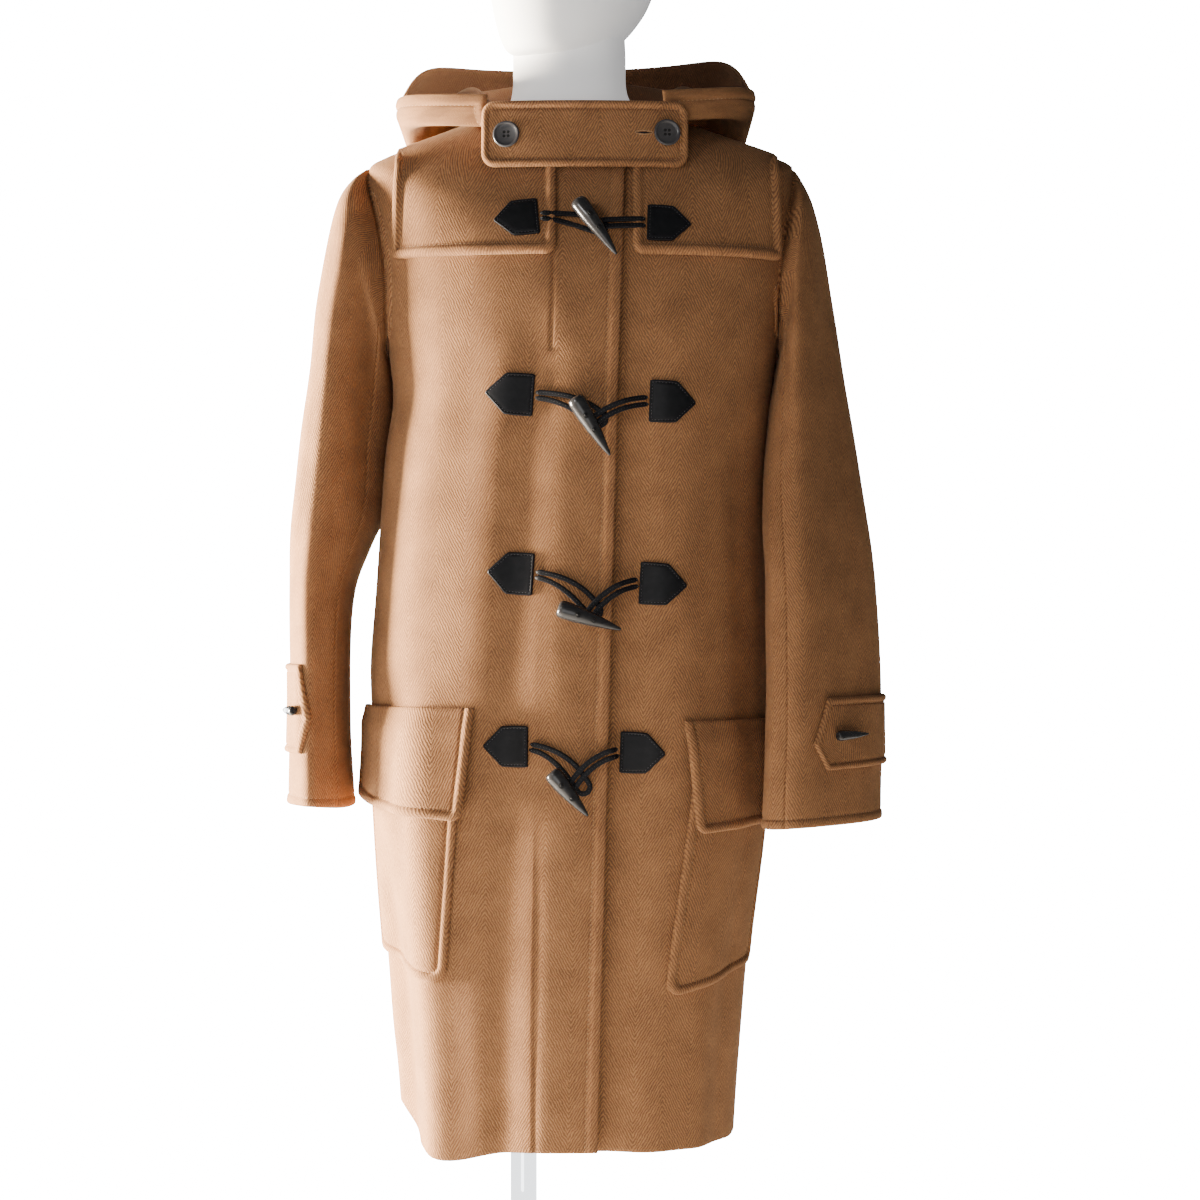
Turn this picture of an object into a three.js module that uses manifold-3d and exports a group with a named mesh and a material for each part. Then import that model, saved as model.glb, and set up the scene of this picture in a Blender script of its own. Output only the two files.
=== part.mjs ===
// A hooded wool duffle coat, closed with four horn toggles, on a limbless dress form with a pole and base.
// Millimetres, +Z up. The coat's front faces -Y and +X is the viewer's right, which is the wearer's left.
// The origin is the centre of the base plate's underside.
import * as THREE from "three";
import Module from "manifold-3d";
import { mergeVertices } from "three/addons/utils/BufferGeometryUtils.js";

const wasm = await Module();
wasm.setup();

// Driving dimensions
const CLOTH = 3; // heavy double-faced coating
const LEATHER = 2.4;
const GAP = 0.3; // between sewn pieces
const SINK = 1.5; // how far an overlay is drawn into its panel before the panel is cut out of it
const HEM_Z = 528;
const NECK_Z = 1486;
const ARM_MID_Z = 1352; // the armhole is an oval on the body, centred on the side
const ARM_HALF_Z = 90;
const ARM_HALF_TURN = 23;
const SQUARENESS = 0.12; // how far the rounded sections lean to a rectangle
const CLOSURE_TOP_X = 39.6; // the overlapping front's edge at the neck and at the hem
const CLOSURE_HEM_X = 14;
const UNDERLAP = 52; // how far the under front reaches behind that edge
const UNDERLAP_DROP_HEM = 9.5; // and how much deeper it lies there
const UNDERLAP_DROP_NECK = 5;
const SIDE_TURN = 90; // side seams and shoulder seams, in degrees from the centre front
const SEAM_TURN = 0.05; // half a seam gap, in degrees
const POLE_X = -57;
const POLE_Y = 20;
const POLE_R = 12.5;
const FORM_FLOOR_Z = 780;
const BASE_R = 170;
const BASE_T = 10;
const FORM_CLEARANCE = 1.2;

const radians = THREE.MathUtils.degToRad;
const degrees = THREE.MathUtils.radToDeg;
const lerp = THREE.MathUtils.lerp;
const clamp01 = (x) => THREE.MathUtils.clamp(x, 0, 1);
const vec = (x, y, z) => new THREE.Vector3(x, y, z);
const bell = (distance, spread) => Math.exp(-((distance / spread) ** 2));

function ease(x) {
  const t = clamp01(x);
  return t * t * (3 - 2 * t);
}

// A short table with named columns becomes a list of rows with those names.
function table(columns, rows) {
  return rows.map((row) => Object.fromEntries(columns.map((name, i) => [name, row[i]])));
}

// Evenly spaced numbers from a to b, with this many steps.
function steps(a, b, count) {
  return Array.from({ length: count + 1 }, (_, i) => lerp(a, b, i / count));
}

// Cubic curve through four numbers, at share t between the middle two.
function cubic(p0, p1, p2, p3, t) {
  const m1 = (p2 - p0) / 2;
  const m2 = (p3 - p1) / 2;
  const t2 = t * t;
  const t3 = t2 * t;
  return (2 * t3 - 3 * t2 + 1) * p1 + (t3 - 2 * t2 + t) * m1 + (3 * t2 - 2 * t3) * p2 + (t3 - t2) * m2;
}

// A smooth curve through points, at place s counted in points.
function throughPoints(points, s) {
  const last = points.length - 1;
  const k = Math.min(Math.max(Math.floor(s), 0), last - 1);
  const at = (i) => points[Math.min(Math.max(i, 0), last)];
  const [a, b, c, d] = [at(k - 1), at(k), at(k + 1), at(k + 2)];
  return vec(
    cubic(a.x, b.x, c.x, d.x, s - k),
    cubic(a.y, b.y, c.y, d.y, s - k),
    cubic(a.z, b.z, c.z, d.z, s - k),
  );
}

// A table's columns at a height, smooth through its rows.
function rowAt(rows, key, value) {
  let k = 0;
  while (k < rows.length - 2 && rows[k + 1][key] < value) k += 1;
  const share = (value - rows[k][key]) / (rows[k + 1][key] - rows[k][key]);
  const span = rows[k + 1][key] - rows[k][key];
  const slope = (name, i) => {
    const lo = rows[Math.max(i - 1, 0)];
    const hi = rows[Math.min(i + 1, rows.length - 1)];
    return (hi[name] - lo[name]) / (hi[key] - lo[key]);
  };
  const out = {};
  for (const name of Object.keys(rows[0])) {
    const t2 = share * share;
    const t3 = t2 * share;
    out[name] =
      (2 * t3 - 3 * t2 + 1) * rows[k][name] +
      (t3 - 2 * t2 + share) * slope(name, k) * span +
      (3 * t2 - 2 * t3) * rows[k + 1][name] +
      (t3 - t2) * slope(name, k + 1) * span;
  }
  out[key] = value;
  return out;
}

// Sections of the coat's body, outside face. A section may tilt, with its own side, front and back heights.
const BODY = table(
  ["side", "front_z", "back_z", "mid_x", "half_width", "front_depth", "back_depth"],
  [
    [528, 528, 528, -15, 158, 130, 116],
    [580, 580, 580, -15, 161, 131, 118],
    [640, 640, 640, -15, 166, 132, 120],
    [716, 716, 716, -14.5, 172.5, 134, 122],
    [800, 800, 800, -12.5, 180, 135, 124],
    [880, 880, 880, -11.5, 186, 135, 124],
    [963, 963, 963, -12.5, 189, 134, 122],
    [1030, 1030, 1030, -11.5, 185.5, 132, 118],
    [1125, 1125, 1125, -9, 181, 130, 112],
    [1172, 1172, 1172, -6.5, 180, 130, 110],
    [1220, 1218, 1220, -1, 179, 130, 109],
    [1262, 1256, 1262, 0, 184, 129, 109],
    [1300, 1286, 1300, 0, 190, 126, 110],
    [1352, 1326, 1350, 0, 197, 119, 108],
    [1400, 1362, 1394, -1, 202, 110, 99],
    [1430, 1386, 1426, -2, 203, 102, 89],
    [1442, 1397, 1439, -2, 199, 97, 82],
    [1452, 1407, 1451, -3, 178, 93, 76],
    [1466, 1418, 1466, -4, 138, 88, 70],
    [1478, 1427, 1480, -5, 105, 84, 66],
    [1486, 1433, 1490, -6, 84, 82, 64],
  ],
);

// Soft folds of the body. Turns are degrees from the centre front, negative on the wearer's right.
const BODY_FOLDS = table(
  ["turn_hem", "turn_neck", "spread", "rise", "from", "to"],
  [
    [-20, -9, 6.5, -6, 400, 1345],
    [-43, -40, 8, 10, 400, 1010],
    [-57, -40, 10, 5, 900, 1320],
    [-64, -66, 8, -8, 400, 860],
    [28, 31, 8, 5, 400, 1300],
    [44, 45, 7, 5, 400, 760],
    [60, 52, 8, -4, 400, 1260],
    [122, 126, 11, 7, 400, 1180],
    [147, 150, 9, -6, 400, 1100],
    [172, 176, 12, 7, 400, 1150],
    [200, 197, 9, -6, 400, 1060],
    [226, 224, 11, 7, 400, 1190],
    [248, 250, 8, -4, 400, 980],
  ],
);

function foldRise(turn, h) {
  const up = (h - HEM_Z) / (NECK_Z - HEM_Z);
  let rise = 0;
  for (const fold of BODY_FOLDS) {
    const middle = lerp(fold.turn_hem, fold.turn_neck, up);
    const apart = ((turn - middle + 540) % 360) - 180;
    rise += fold.rise * bell(apart, fold.spread) * ease((h - fold.from) / 120) * ease((fold.to - h) / 140);
  }
  return rise;
}

// The hem's own rise and dip: low under the fold on the right front, and rising from there to the back.
function hemRise(turn, h) {
  const round = ((turn + 540) % 360) - 180;
  const side = ease((-round - 56) / 22) * ease((round + 172) / 30);
  return (29 * side - 10 * bell(round + 38, 13)) * ease((HEM_Z + 130 - h) / 130);
}

// A point of the body's outside face: a rounded section, moved out by its folds and by lift.
function sectionPoint(row, turn, lift) {
  const s = Math.sin(radians(turn));
  const c = Math.cos(radians(turn));
  const depth = c > 0 ? row.front_depth : row.back_depth;
  const tilt = (c > 0 ? row.front_z : row.back_z) - row.side;
  return vec(
    row.mid_x + row.half_width * s * (1 + SQUARENESS * c * c) + lift * s,
    -depth * c * (1 + SQUARENESS * s * s) - lift * c,
    row.side + tilt * c * c,
  );
}

const closureX = (h) => lerp(CLOSURE_HEM_X, CLOSURE_TOP_X, (h - HEM_Z) / (NECK_Z - HEM_Z));

// The turn at which the body's front reaches this x.
function turnAtX(x, h) {
  const row = rowAt(BODY, "side", h);
  let low = -90;
  let high = 90;
  for (let i = 0; i < 30; i += 1) {
    const middle = (low + high) / 2;
    if (sectionPoint(row, middle, 0).x < x) low = middle;
    else high = middle;
  }
  return (low + high) / 2;
}

// The under front lies deeper behind the closure's edge, and comes level beyond it.
function underlapDrop(turn, h) {
  const drop = lerp(UNDERLAP_DROP_HEM, UNDERLAP_DROP_NECK, ease((h - 1280) / 150));
  return -drop * (1 - ease((turn - turnAtX(closureX(h), h) - 2) / 12)) * ease((turn + 70) / 30);
}

function bodyPoint(turn, h, sink = 0) {
  const p = sectionPoint(rowAt(BODY, "side", h), turn, foldRise(turn, h) + sink);
  p.z += hemRise(turn, h);
  return p;
}

function underFrontPoint(turn, h) {
  return bodyPoint(turn, h, underlapDrop(turn, h));
}

// The unit normal of a surface, from its two directions.
function normalOf(surface, u, v, du, dv) {
  const along = surface(u + du, v).sub(surface(u - du, v));
  const up = surface(u, v + dv).sub(surface(u, v - dv));
  return along.cross(up).normalize();
}

// A point of a surface, moved out along its normal.
function movedOut(surface, turn, h, out) {
  return surface(turn, h).addScaledVector(normalOf(surface, turn, h, 0.5, 1), out);
}

// Half the armhole's width, in degrees, at a height. Zero above and below it.
function armholeTurn(h) {
  const share = (h - ARM_MID_Z) / ARM_HALF_Z;
  return ARM_HALF_TURN * Math.sqrt(Math.max(0, 1 - share * share));
}

// A closed solid between an outer and an inner grid of points.
function wallGeometry(outer, inner, closed) {
  const rows = outer.length;
  const columns = outer[0].length;
  const spans = closed ? columns : columns - 1;
  const positions = [...outer.flat(), ...inner.flat()].flatMap((p) => [p.x, p.y, p.z]);
  const out = (j, i) => j * columns + (i % columns);
  const into = (j, i) => rows * columns + out(j, i);
  const index = [];
  const quad = (a, b, c, d) => index.push(a, b, c, a, c, d);
  for (let j = 0; j < rows - 1; j += 1)
    for (let i = 0; i < spans; i += 1) {
      quad(out(j, i), out(j, i + 1), out(j + 1, i + 1), out(j + 1, i));
      quad(into(j, i), into(j + 1, i), into(j + 1, i + 1), into(j, i + 1));
    }
  for (let i = 0; i < spans; i += 1) {
    quad(out(0, i), into(0, i), into(0, i + 1), out(0, i + 1));
    quad(out(rows - 1, i), out(rows - 1, i + 1), into(rows - 1, i + 1), into(rows - 1, i));
  }
  if (!closed)
    for (let j = 0; j < rows - 1; j += 1) {
      quad(out(j, 0), out(j + 1, 0), into(j + 1, 0), into(j, 0));
      quad(out(j, spans), into(j, spans), into(j + 1, spans), out(j + 1, spans));
    }
  return facingOut(positions, index);
}

// Turns every face round if the solid came out inside out.
function facingOut(positions, index) {
  const geometry = new THREE.BufferGeometry();
  geometry.setAttribute("position", new THREE.Float32BufferAttribute(positions, 3));
  const at = (i) => vec(positions[3 * i], positions[3 * i + 1], positions[3 * i + 2]);
  let volume = 0;
  for (let i = 0; i < index.length; i += 3)
    volume += at(index[i]).dot(at(index[i + 1]).cross(at(index[i + 2])));
  if (volume < 0)
    for (let i = 0; i < index.length; i += 3) [index[i + 1], index[i + 2]] = [index[i + 2], index[i + 1]];
  geometry.setIndex(index);
  return geometry;
}

// A closed solid through rings of points, with a flat fan at each end.
function loftGeometry(rings) {
  const count = rings[0].length;
  const index = [];
  const at = (j, i) => j * count + (i % count);
  for (let j = 0; j < rings.length - 1; j += 1)
    for (let i = 0; i < count; i += 1)
      index.push(at(j, i), at(j, i + 1), at(j + 1, i + 1), at(j, i), at(j + 1, i + 1), at(j + 1, i));
  const points = rings.flat();
  for (const [j, first, second] of [[0, 1, 0], [rings.length - 1, 0, 1]]) {
    const middle = rings[j].reduce((sum, p) => sum.add(p), vec(0, 0, 0)).divideScalar(count);
    points.push(middle);
    for (let i = 0; i < count; i += 1)
      index.push(at(j, i + first), at(j, i + second), points.length - 1);
  }
  return facingOut(points.flatMap((p) => [p.x, p.y, p.z]), index);
}

function toSolid(geometry, tolerance = 1e-4) {
  const bare = new THREE.BufferGeometry();
  bare.setAttribute("position", geometry.getAttribute("position"));
  if (geometry.index) bare.setIndex(geometry.index);
  const merged = mergeVertices(bare, tolerance);
  return new wasm.Manifold(
    new wasm.Mesh({
      numProp: 3,
      vertProperties: new Float32Array(merged.attributes.position.array),
      triVerts: new Uint32Array(merged.index.array),
    }),
  );
}

// The largest body of a solid, once points that 32-bit numbers can't tell apart are one.
function largestBody(solid) {
  const pieces = toSolid(toGeometry(solid), 1e-3).decompose();
  return pieces.reduce((best, piece) => (piece.volume() > best.volume() ? piece : best));
}

function toGeometry(solid) {
  const mesh = solid.getMesh();
  const geometry = new THREE.BufferGeometry();
  geometry.setAttribute("position", new THREE.BufferAttribute(new Float32Array(mesh.vertProperties), 3));
  geometry.setIndex(new THREE.BufferAttribute(new Uint32Array(mesh.triVerts), 1));
  return geometry;
}

const MATERIALS = {
  wool: new THREE.MeshStandardMaterial({ color: 0xa06f3f, roughness: 0.95, metalness: 0 }),
  leather: new THREE.MeshStandardMaterial({ color: 0x14161a, roughness: 0.5, metalness: 0 }),
  horn: new THREE.MeshStandardMaterial({ color: 0x2c2a2c, roughness: 0.25, metalness: 0 }),
  button: new THREE.MeshStandardMaterial({ color: 0x22242a, roughness: 0.35, metalness: 0 }),
  form: new THREE.MeshStandardMaterial({ color: 0xe2dcd6, roughness: 0.8, metalness: 0 }),
  steel: new THREE.MeshStandardMaterial({ color: 0xc9ccd0, roughness: 0.15, metalness: 1 }),
};

const coat = new THREE.Group();

function add(name, geometry, material) {
  const mesh = new THREE.Mesh(geometry, MATERIALS[material]);
  mesh.name = name;
  coat.add(mesh);
}

// Heights of the body's rows: the armhole rows match the points round a sleeve's first ring.
const SLEEVE_SIDES = 16;
const armholeAngles = steps(0, 180, SLEEVE_SIDES / 2);
const armholeRows = armholeAngles.map((a) => ARM_MID_Z - ARM_HALF_Z * Math.cos(radians(a)));
const BODY_ROWS = [
  ...[528, 570, 625, 685, 745, 810, 880, 950, 1020, 1090, 1155, 1215],
  ...armholeRows,
  ...[1453, 1465, 1476, 1486],
];

const frontEdge = (h) => turnAtX(closureX(h), h);
const PANELS = {
  front_right: {
    surface: bodyPoint,
    columns: 10,
    start: frontEdge,
    end: (h) => -(SIDE_TURN - SEAM_TURN - armholeTurn(h)),
  },
  front_left: {
    surface: underFrontPoint,
    columns: 10,
    start: (h) => turnAtX(closureX(h) - UNDERLAP, h),
    end: (h) => SIDE_TURN - SEAM_TURN - armholeTurn(h),
  },
  back: {
    surface: bodyPoint,
    columns: 14,
    start: (h) => SIDE_TURN + SEAM_TURN + armholeTurn(h),
    end: (h) => 360 - (SIDE_TURN + SEAM_TURN + armholeTurn(h)),
  },
};

// A panel's grid of points, moved out from its surface.
function panelGrid({ surface, columns, start, end }, out) {
  const shares = steps(0, 1, columns);
  return BODY_ROWS.map((h) => shares.map((a) => movedOut(surface, lerp(start(h), end(h), a), h, out)));
}

// Each panel is a wall of cloth. It is also kept with its outside face moved out, to clear the overlays.
const grown = {};
for (const [name, panel] of Object.entries(PANELS)) {
  panel.face = panelGrid(panel, 0);
  panel.turns = BODY_ROWS.map((h) => [panel.start(h), panel.end(h)]);
  const inner = panelGrid(panel, -CLOTH);
  add(name, wallGeometry(panel.face, inner, false), "wool");
  grown[name] = toSolid(wallGeometry(panelGrid(panel, GAP), inner, false));
}

// The point of a panel's flat faces at a turn and a height.
function facePoint({ face, turns, columns }, turn, h) {
  let k = 0;
  while (k < BODY_ROWS.length - 2 && BODY_ROWS[k + 1] < h) k += 1;
  const up = clamp01((h - BODY_ROWS[k]) / (BODY_ROWS[k + 1] - BODY_ROWS[k]));
  const start = lerp(turns[k][0], turns[k + 1][0], up);
  const end = lerp(turns[k][1], turns[k + 1][1], up);
  const place = clamp01((turn - start) / (end - start)) * columns;
  const i = Math.min(Math.floor(place), columns - 1);
  const low = face[k][i].clone().lerp(face[k][i + 1], place - i);
  return low.lerp(face[k + 1][i].clone().lerp(face[k + 1][i + 1], place - i), up);
}

// A point off the coat's body as it is built: on the faces of the panel that shows there, moved out.
function offBody(surface, turn, h, out) {
  const round = ((turn + 450) % 360) - 90;
  let panel = PANELS.front_right;
  if (surface === underFrontPoint || round > frontEdge(h)) panel = PANELS.front_left;
  if (round > SIDE_TURN) panel = PANELS.back;
  return facePoint(panel, round, h).addScaledVector(normalOf(surface, turn, h, 0.5, 1), out);
}

// Cloth or leather lying on panels. place(u, v) gives a turn, a height and a lift off the panel. The inner
// face is drawn a little into the panel and the grown panels are cut out of it, so it follows their faces.
function overlaySolid(surface, place, across, up, thickness, under, more = 0) {
  const layer = (offset) =>
    up.map((v) =>
      across.map((u) => {
        const { turn, h, lift = 0 } = place(u, v);
        return offBody(surface, turn, h, offset(lift));
      }),
    );
  const outer = layer((lift) => GAP + thickness + lift + more);
  const inner = layer((lift) => GAP + lift - (GAP + SINK) * (1 - ease(lift / 2)));
  let solid = toSolid(wallGeometry(outer, inner, false));
  for (const other of under) solid = solid.subtract(other);
  return largestBody(solid);
}

// Yoke: a storm layer over the shoulders, with a flap on each front. Its outer edge keeps to one x.
const YOKE_OUT_X = { right: 174, left: 181 };
const YOKE_HEM_Z = 1345;
const YOKE_BACK_Z = 1332;
const YOKE_NECK_Z = 1481;
const YOKE_RIGHT_X = -24;
const YOKE_LEFT_X = 46;

// The turn where a section reaches the yoke's outer edge, or the shoulder seam where it is narrower.
function yokeOuterTurn(h, side) {
  const row = rowAt(BODY, "side", h);
  const seam = SIDE_TURN - SEAM_TURN;
  const out = side < 0 ? YOKE_OUT_X.right : YOKE_OUT_X.left;
  if (sectionPoint(row, side * seam, 0).x * side <= out) return side * seam;
  return side * Math.min(Math.abs(turnAtX(side * out, h)), seam);
}

// The section whose point at this turn is at height z.
function sectionAtZ(turn, z) {
  let h = z;
  for (let i = 0; i < 20; i += 1) h += 0.8 * (z - sectionPoint(rowAt(BODY, "side", h), turn, 0).z);
  return h;
}

const yokeRows = [0, 0.2, 0.4, 0.58, 0.72, 0.83, 0.92, 1];
function yokeFront(side, innerX) {
  const turnAcross = (u, h) => lerp(turnAtX(innerX, h), yokeOuterTurn(h, side), u);
  const place = (u, v) => {
    let h = lerp(YOKE_HEM_Z, YOKE_NECK_Z, v);
    for (let i = 0; i < 8; i += 1) h = lerp(sectionAtZ(turnAcross(u, h), YOKE_HEM_Z), YOKE_NECK_Z, v);
    return { turn: turnAcross(u, h), h };
  };
  return (more) =>
    overlaySolid(bodyPoint, place, steps(0, 1, 8), yokeRows, CLOTH, [
      grown.front_right,
      grown.front_left,
      grown.back,
    ], more);
}
function yokeBack() {
  const place = (u, v) => {
    const h = lerp(YOKE_BACK_Z, YOKE_NECK_Z, v);
    const left = 180 - yokeOuterTurn(h, 1);
    const right = 180 - yokeOuterTurn(h, -1);
    return { turn: lerp(left, right, u), h };
  };
  return (more) => overlaySolid(bodyPoint, place, steps(0, 1, 12), yokeRows, CLOTH, [grown.back], more);
}
const YOKES = {
  yoke_right: yokeFront(-1, YOKE_RIGHT_X),
  yoke_left: yokeFront(1, YOKE_LEFT_X),
  yoke_back: yokeBack(),
};
for (const [name, make] of Object.entries(YOKES)) {
  add(name, toGeometry(make(0)), "wool");
  grown[name] = make(GAP);
}

// Pockets and their flaps: patches on the fronts that reach round the sides. in_ and out_ are turns.
const POCKETS = table(
  ["name", "side", "in_top", "in_low", "out_top", "out_low", "top", "low_in", "low_out", "rise"],
  [
    ["pocket_right", -1, 28, 35.5, 86, 86, 900, 679, 707, 3.4],
    ["pocket_left", 1, 34, 28, 82, 76, 900, 668, 693, 3.4],
    ["flap_right", -1, 24.5, 28.5, 88, 89, 932, 829, 849, 9],
    ["flap_left", 1, 29.5, 33, 84, 84, 920, 818, 828, 8],
  ],
);
function pocketSolid(spec, under, lift, more = 0) {
  const isFlap = spec.name.startsWith("flap");
  const surface = spec.side < 0 ? bodyPoint : underFrontPoint;
  const place = (u, v) => {
    const h = lerp(lerp(spec.low_in, spec.low_out, u), spec.top, v);
    const turn = spec.side * lerp(lerp(spec.in_low, spec.in_top, v), lerp(spec.out_low, spec.out_top, v), u);
    const bag = Math.sin(Math.PI * u) * Math.sin(Math.PI * clamp01(v));
    const puff = isFlap ? (1 - v) ** 1.5 * 0.9 + 0.1 : bag;
    return { turn, h, lift: lift(v) + spec.rise * puff };
  };
  return overlaySolid(surface, place, steps(0, 1, 7), steps(0, 1, 5), CLOTH, under, more);
}
const POCKET_LIFT = 0;
const FLAP_LIFT = CLOTH + GAP + 0.3;
for (const side of ["right", "left"]) {
  const pocket = POCKETS.find((p) => p.name === `pocket_${side}`);
  const flap = POCKETS.find((p) => p.name === `flap_${side}`);
  const panels = [grown[`front_${side}`], grown.back];
  add(pocket.name, toGeometry(pocketSolid(pocket, panels, () => POCKET_LIFT)), "wool");
  const clearance = pocketSolid(pocket, panels, () => POCKET_LIFT, GAP);
  const overPocket = (v) => FLAP_LIFT * (1 - ease((v - 0.78) / 0.2));
  add(flap.name, toGeometry(pocketSolid(flap, [...panels, clearance], overPocket)), "wool");
}

// Sleeves. Each section runs from an inner point, under the arm, to an outer one, and lies across at mid_y
// with its own half depth. lean moves the outer end back and the inner end forward.
const SLEEVE_COLUMNS = ["outer_x", "outer_z", "inner_x", "inner_z", "mid_y", "half_depth", "lean"];
const SLEEVES = {
  sleeve_right: {
    side: -1,
    rows: table(SLEEVE_COLUMNS, [
      [-217, 1428, -190, 1257, 0, 66, 0],
      [-230, 1406, -190, 1244, 0, 67, 0],
      [-241, 1362, -190, 1226, 0, 66, 0],
      [-250, 1308, -190, 1204, 0, 65, 0],
      [-256, 1250, -191, 1172, 0, 65, 0],
      [-264, 1190, -195, 1141, 0, 64, 0],
      [-270, 1140, -199, 1110, 0, 63, 0],
      [-275, 1090, -208, 1080, -2, 62, 0],
      [-277, 1040, -219, 1040, -4, 61, 0],
      [-277, 980, -221, 980, -6, 61, 0],
      [-277, 915, -221, 915, -8, 62, 0],
      [-278, 860, -218, 860, -10, 63, 0],
      [-279, 840, -217, 836, -10, 63, 0],
    ]),
  },
  sleeve_left: {
    side: 1,
    rows: table(SLEEVE_COLUMNS, [
      [207, 1428, 188, 1257, 0, 66, 0],
      [218, 1406, 188, 1244, 0, 67, 2],
      [230, 1362, 188, 1224, -2, 66, 5],
      [239, 1308, 187, 1200, -6, 65, 10],
      [248, 1250, 185, 1168, -12, 63, 16],
      [257, 1190, 182, 1134, -22, 60, 23],
      [266, 1130, 179, 1094, -34, 57, 30],
      [274, 1070, 176, 1052, -45, 55, 36],
      [279, 1010, 173, 1002, -54, 53, 40],
      [281, 950, 170, 948, -60, 52, 43],
      [282, 900, 167, 898, -64, 51, 44],
      [281, 860, 165, 854, -67, 51, 45],
      [281, 826, 164, 822, -69, 51, 45],
    ]),
  },
};
// Soft folds of the sleeves: around is degrees from the outer line to the front, and places count rows.
const SLEEVE_FOLDS = table(
  ["sleeve", "around_top", "around_low", "spread", "rise", "from", "to"],
  [
    ["sleeve_right", 66, 84, 17, 8, 0.8, 15],
    ["sleeve_right", 118, 128, 20, -7, 1.2, 8],
    ["sleeve_right", 250, 262, 30, 5, 2, 13],
    ["sleeve_left", 96, 112, 16, 8, 0.8, 15],
    ["sleeve_left", 50, 62, 20, -4, 2, 12],
    ["sleeve_left", 235, 250, 30, 5, 2, 13],
  ],
);

// A point of the armhole's oval, a seam gap inside the panels' edges.
function armholePoint(side, around) {
  const inset = 0.5;
  const turn = side * (SIDE_TURN - (ARM_HALF_TURN - inset) * Math.sin(radians(around)));
  return bodyPoint(turn, ARM_MID_Z + (ARM_HALF_Z - inset) * Math.cos(radians(around)));
}

function sleeveRingPoint(row, side, around) {
  const c = Math.cos(radians(around));
  const s = Math.sin(radians(around));
  const widen = 1 + SQUARENESS * s * s;
  const reach = (1 + c * widen) / 2;
  const front = row.half_depth * s * (1 + SQUARENESS * c * c);
  return vec(
    lerp(row.inner_x, row.outer_x, reach),
    row.mid_y - front + row.lean * c,
    lerp(row.inner_z, row.outer_z, reach),
  );
}

function sleeveSurface(name) {
  const { side, rows } = SLEEVES[name];
  const folds = SLEEVE_FOLDS.filter((fold) => fold.sleeve === name);
  return (around, place) => {
    const points = [armholePoint(side, around), ...rows.map((row) => sleeveRingPoint(row, side, around))];
    const p = throughPoints(points, place);
    let rise = 0;
    for (const fold of folds) {
      const middle = lerp(fold.around_top, fold.around_low, clamp01(place / rows.length));
      const apart = ((around - middle + 540) % 360) - 180;
      const faded = ease((place - fold.from) / 2) * ease((fold.to - place) / 3);
      rise += fold.rise * bell(apart, fold.spread) * faded;
    }
    const way = vec(side * Math.cos(radians(around)) * ease(place / 4), -Math.sin(radians(around)), 0);
    return p.addScaledVector(way, rise);
  };
}

// A point of a sleeve moved away from its middle line.
function sleeveMovedOut(name, around, place, out) {
  const surface = sleeveSurface(name);
  const n = normalOf(surface, around, place, 1, 0.02);
  return surface(around, place).addScaledVector(n, out * SLEEVES[name].side);
}

const SLEEVE_LAST = 13;
const SLEEVE_PLACES = [0, 0.6, 1.2, 2, 3, 4, 5, 6, 7, 8, 9, 10.2, 11.5, 13];
function sleeveGeometry(name, grow = 0) {
  const around = Array.from({ length: SLEEVE_SIDES }, (_, i) => (i * 360) / SLEEVE_SIDES);
  const layer = (out) => SLEEVE_PLACES.map((s) => around.map((a) => sleeveMovedOut(name, a, s, out)));
  return wallGeometry(layer(grow), layer(-CLOTH), true);
}
for (const name of Object.keys(SLEEVES)) {
  add(name, sleeveGeometry(name), "wool");
  grown[name] = toSolid(sleeveGeometry(name, GAP));
}

// Cuff tabs: a strap round the outside of each sleeve, with a point on the front.
const CUFF_TABS = table(
  ["name", "sleeve", "point", "shoulder", "end", "low", "high"],
  [
    ["cuff_tab_right", "sleeve_right", 88, 74, -62, 11.45, 10.15],
    ["cuff_tab_left", "sleeve_left", 103, 92, -58, 11.55, 10.15],
  ],
);
const TAB_POINT = 0.4; // how far up the tab its point is
const tabAt = (spec, u, v) => {
  const toPoint = v < TAB_POINT ? v / TAB_POINT : (1 - v) / (1 - TAB_POINT);
  return [lerp(lerp(spec.shoulder, spec.point, toPoint), spec.end, u), lerp(spec.low, spec.high, v)];
};
for (const spec of CUFF_TABS) {
  const across = steps(0, 1, 10);
  const up = [0, 0.2, TAB_POINT, 0.7, 1];
  const layer = (out) =>
    up.map((v) => across.map((u) => sleeveMovedOut(spec.sleeve, ...tabAt(spec, u, v), out)));
  const strap = toSolid(wallGeometry(layer(GAP + CLOTH), layer(-SINK), false));
  add(spec.name, toGeometry(largestBody(strap.subtract(grown[spec.sleeve]))), "wool");
}

// Hood, thrown back: rings from the neck seam, up over a low stand, down into the bag and up to the rim.
const HOOD = table(
  ["side", "front_z", "back_z", "mid_x", "half_width", "front_depth", "back_depth", "hold"],
  [
    [1486.5, 1434.5, 1490.5, -6, 83.2, 81.2, 63.2, 2],
    [1512, 1452, 1531, -6, 95, 82, 78, 2],
    [1508, 1462, 1520, -6, 114, 83, 96, 2],
    [1487, 1464, 1430, -6, 135, 84, 120, 2],
    [1480, 1466, 1345, -7, 150, 84.5, 134, 2],
    [1480, 1470, 1326, -7, 163, 85, 154, 3],
    [1490, 1480, 1410, -7, 170, 85.5, 172, 5],
    [1499, 1488, 1490, -7, 170, 86, 170, 9],
    [1509, 1497, 1561, -7, 168, 86, 158, 12],
  ],
);
const HOOD_TILT = 4; // its left side stands higher than its right
const HOOD_THROAT_TURN = 26;
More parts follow.
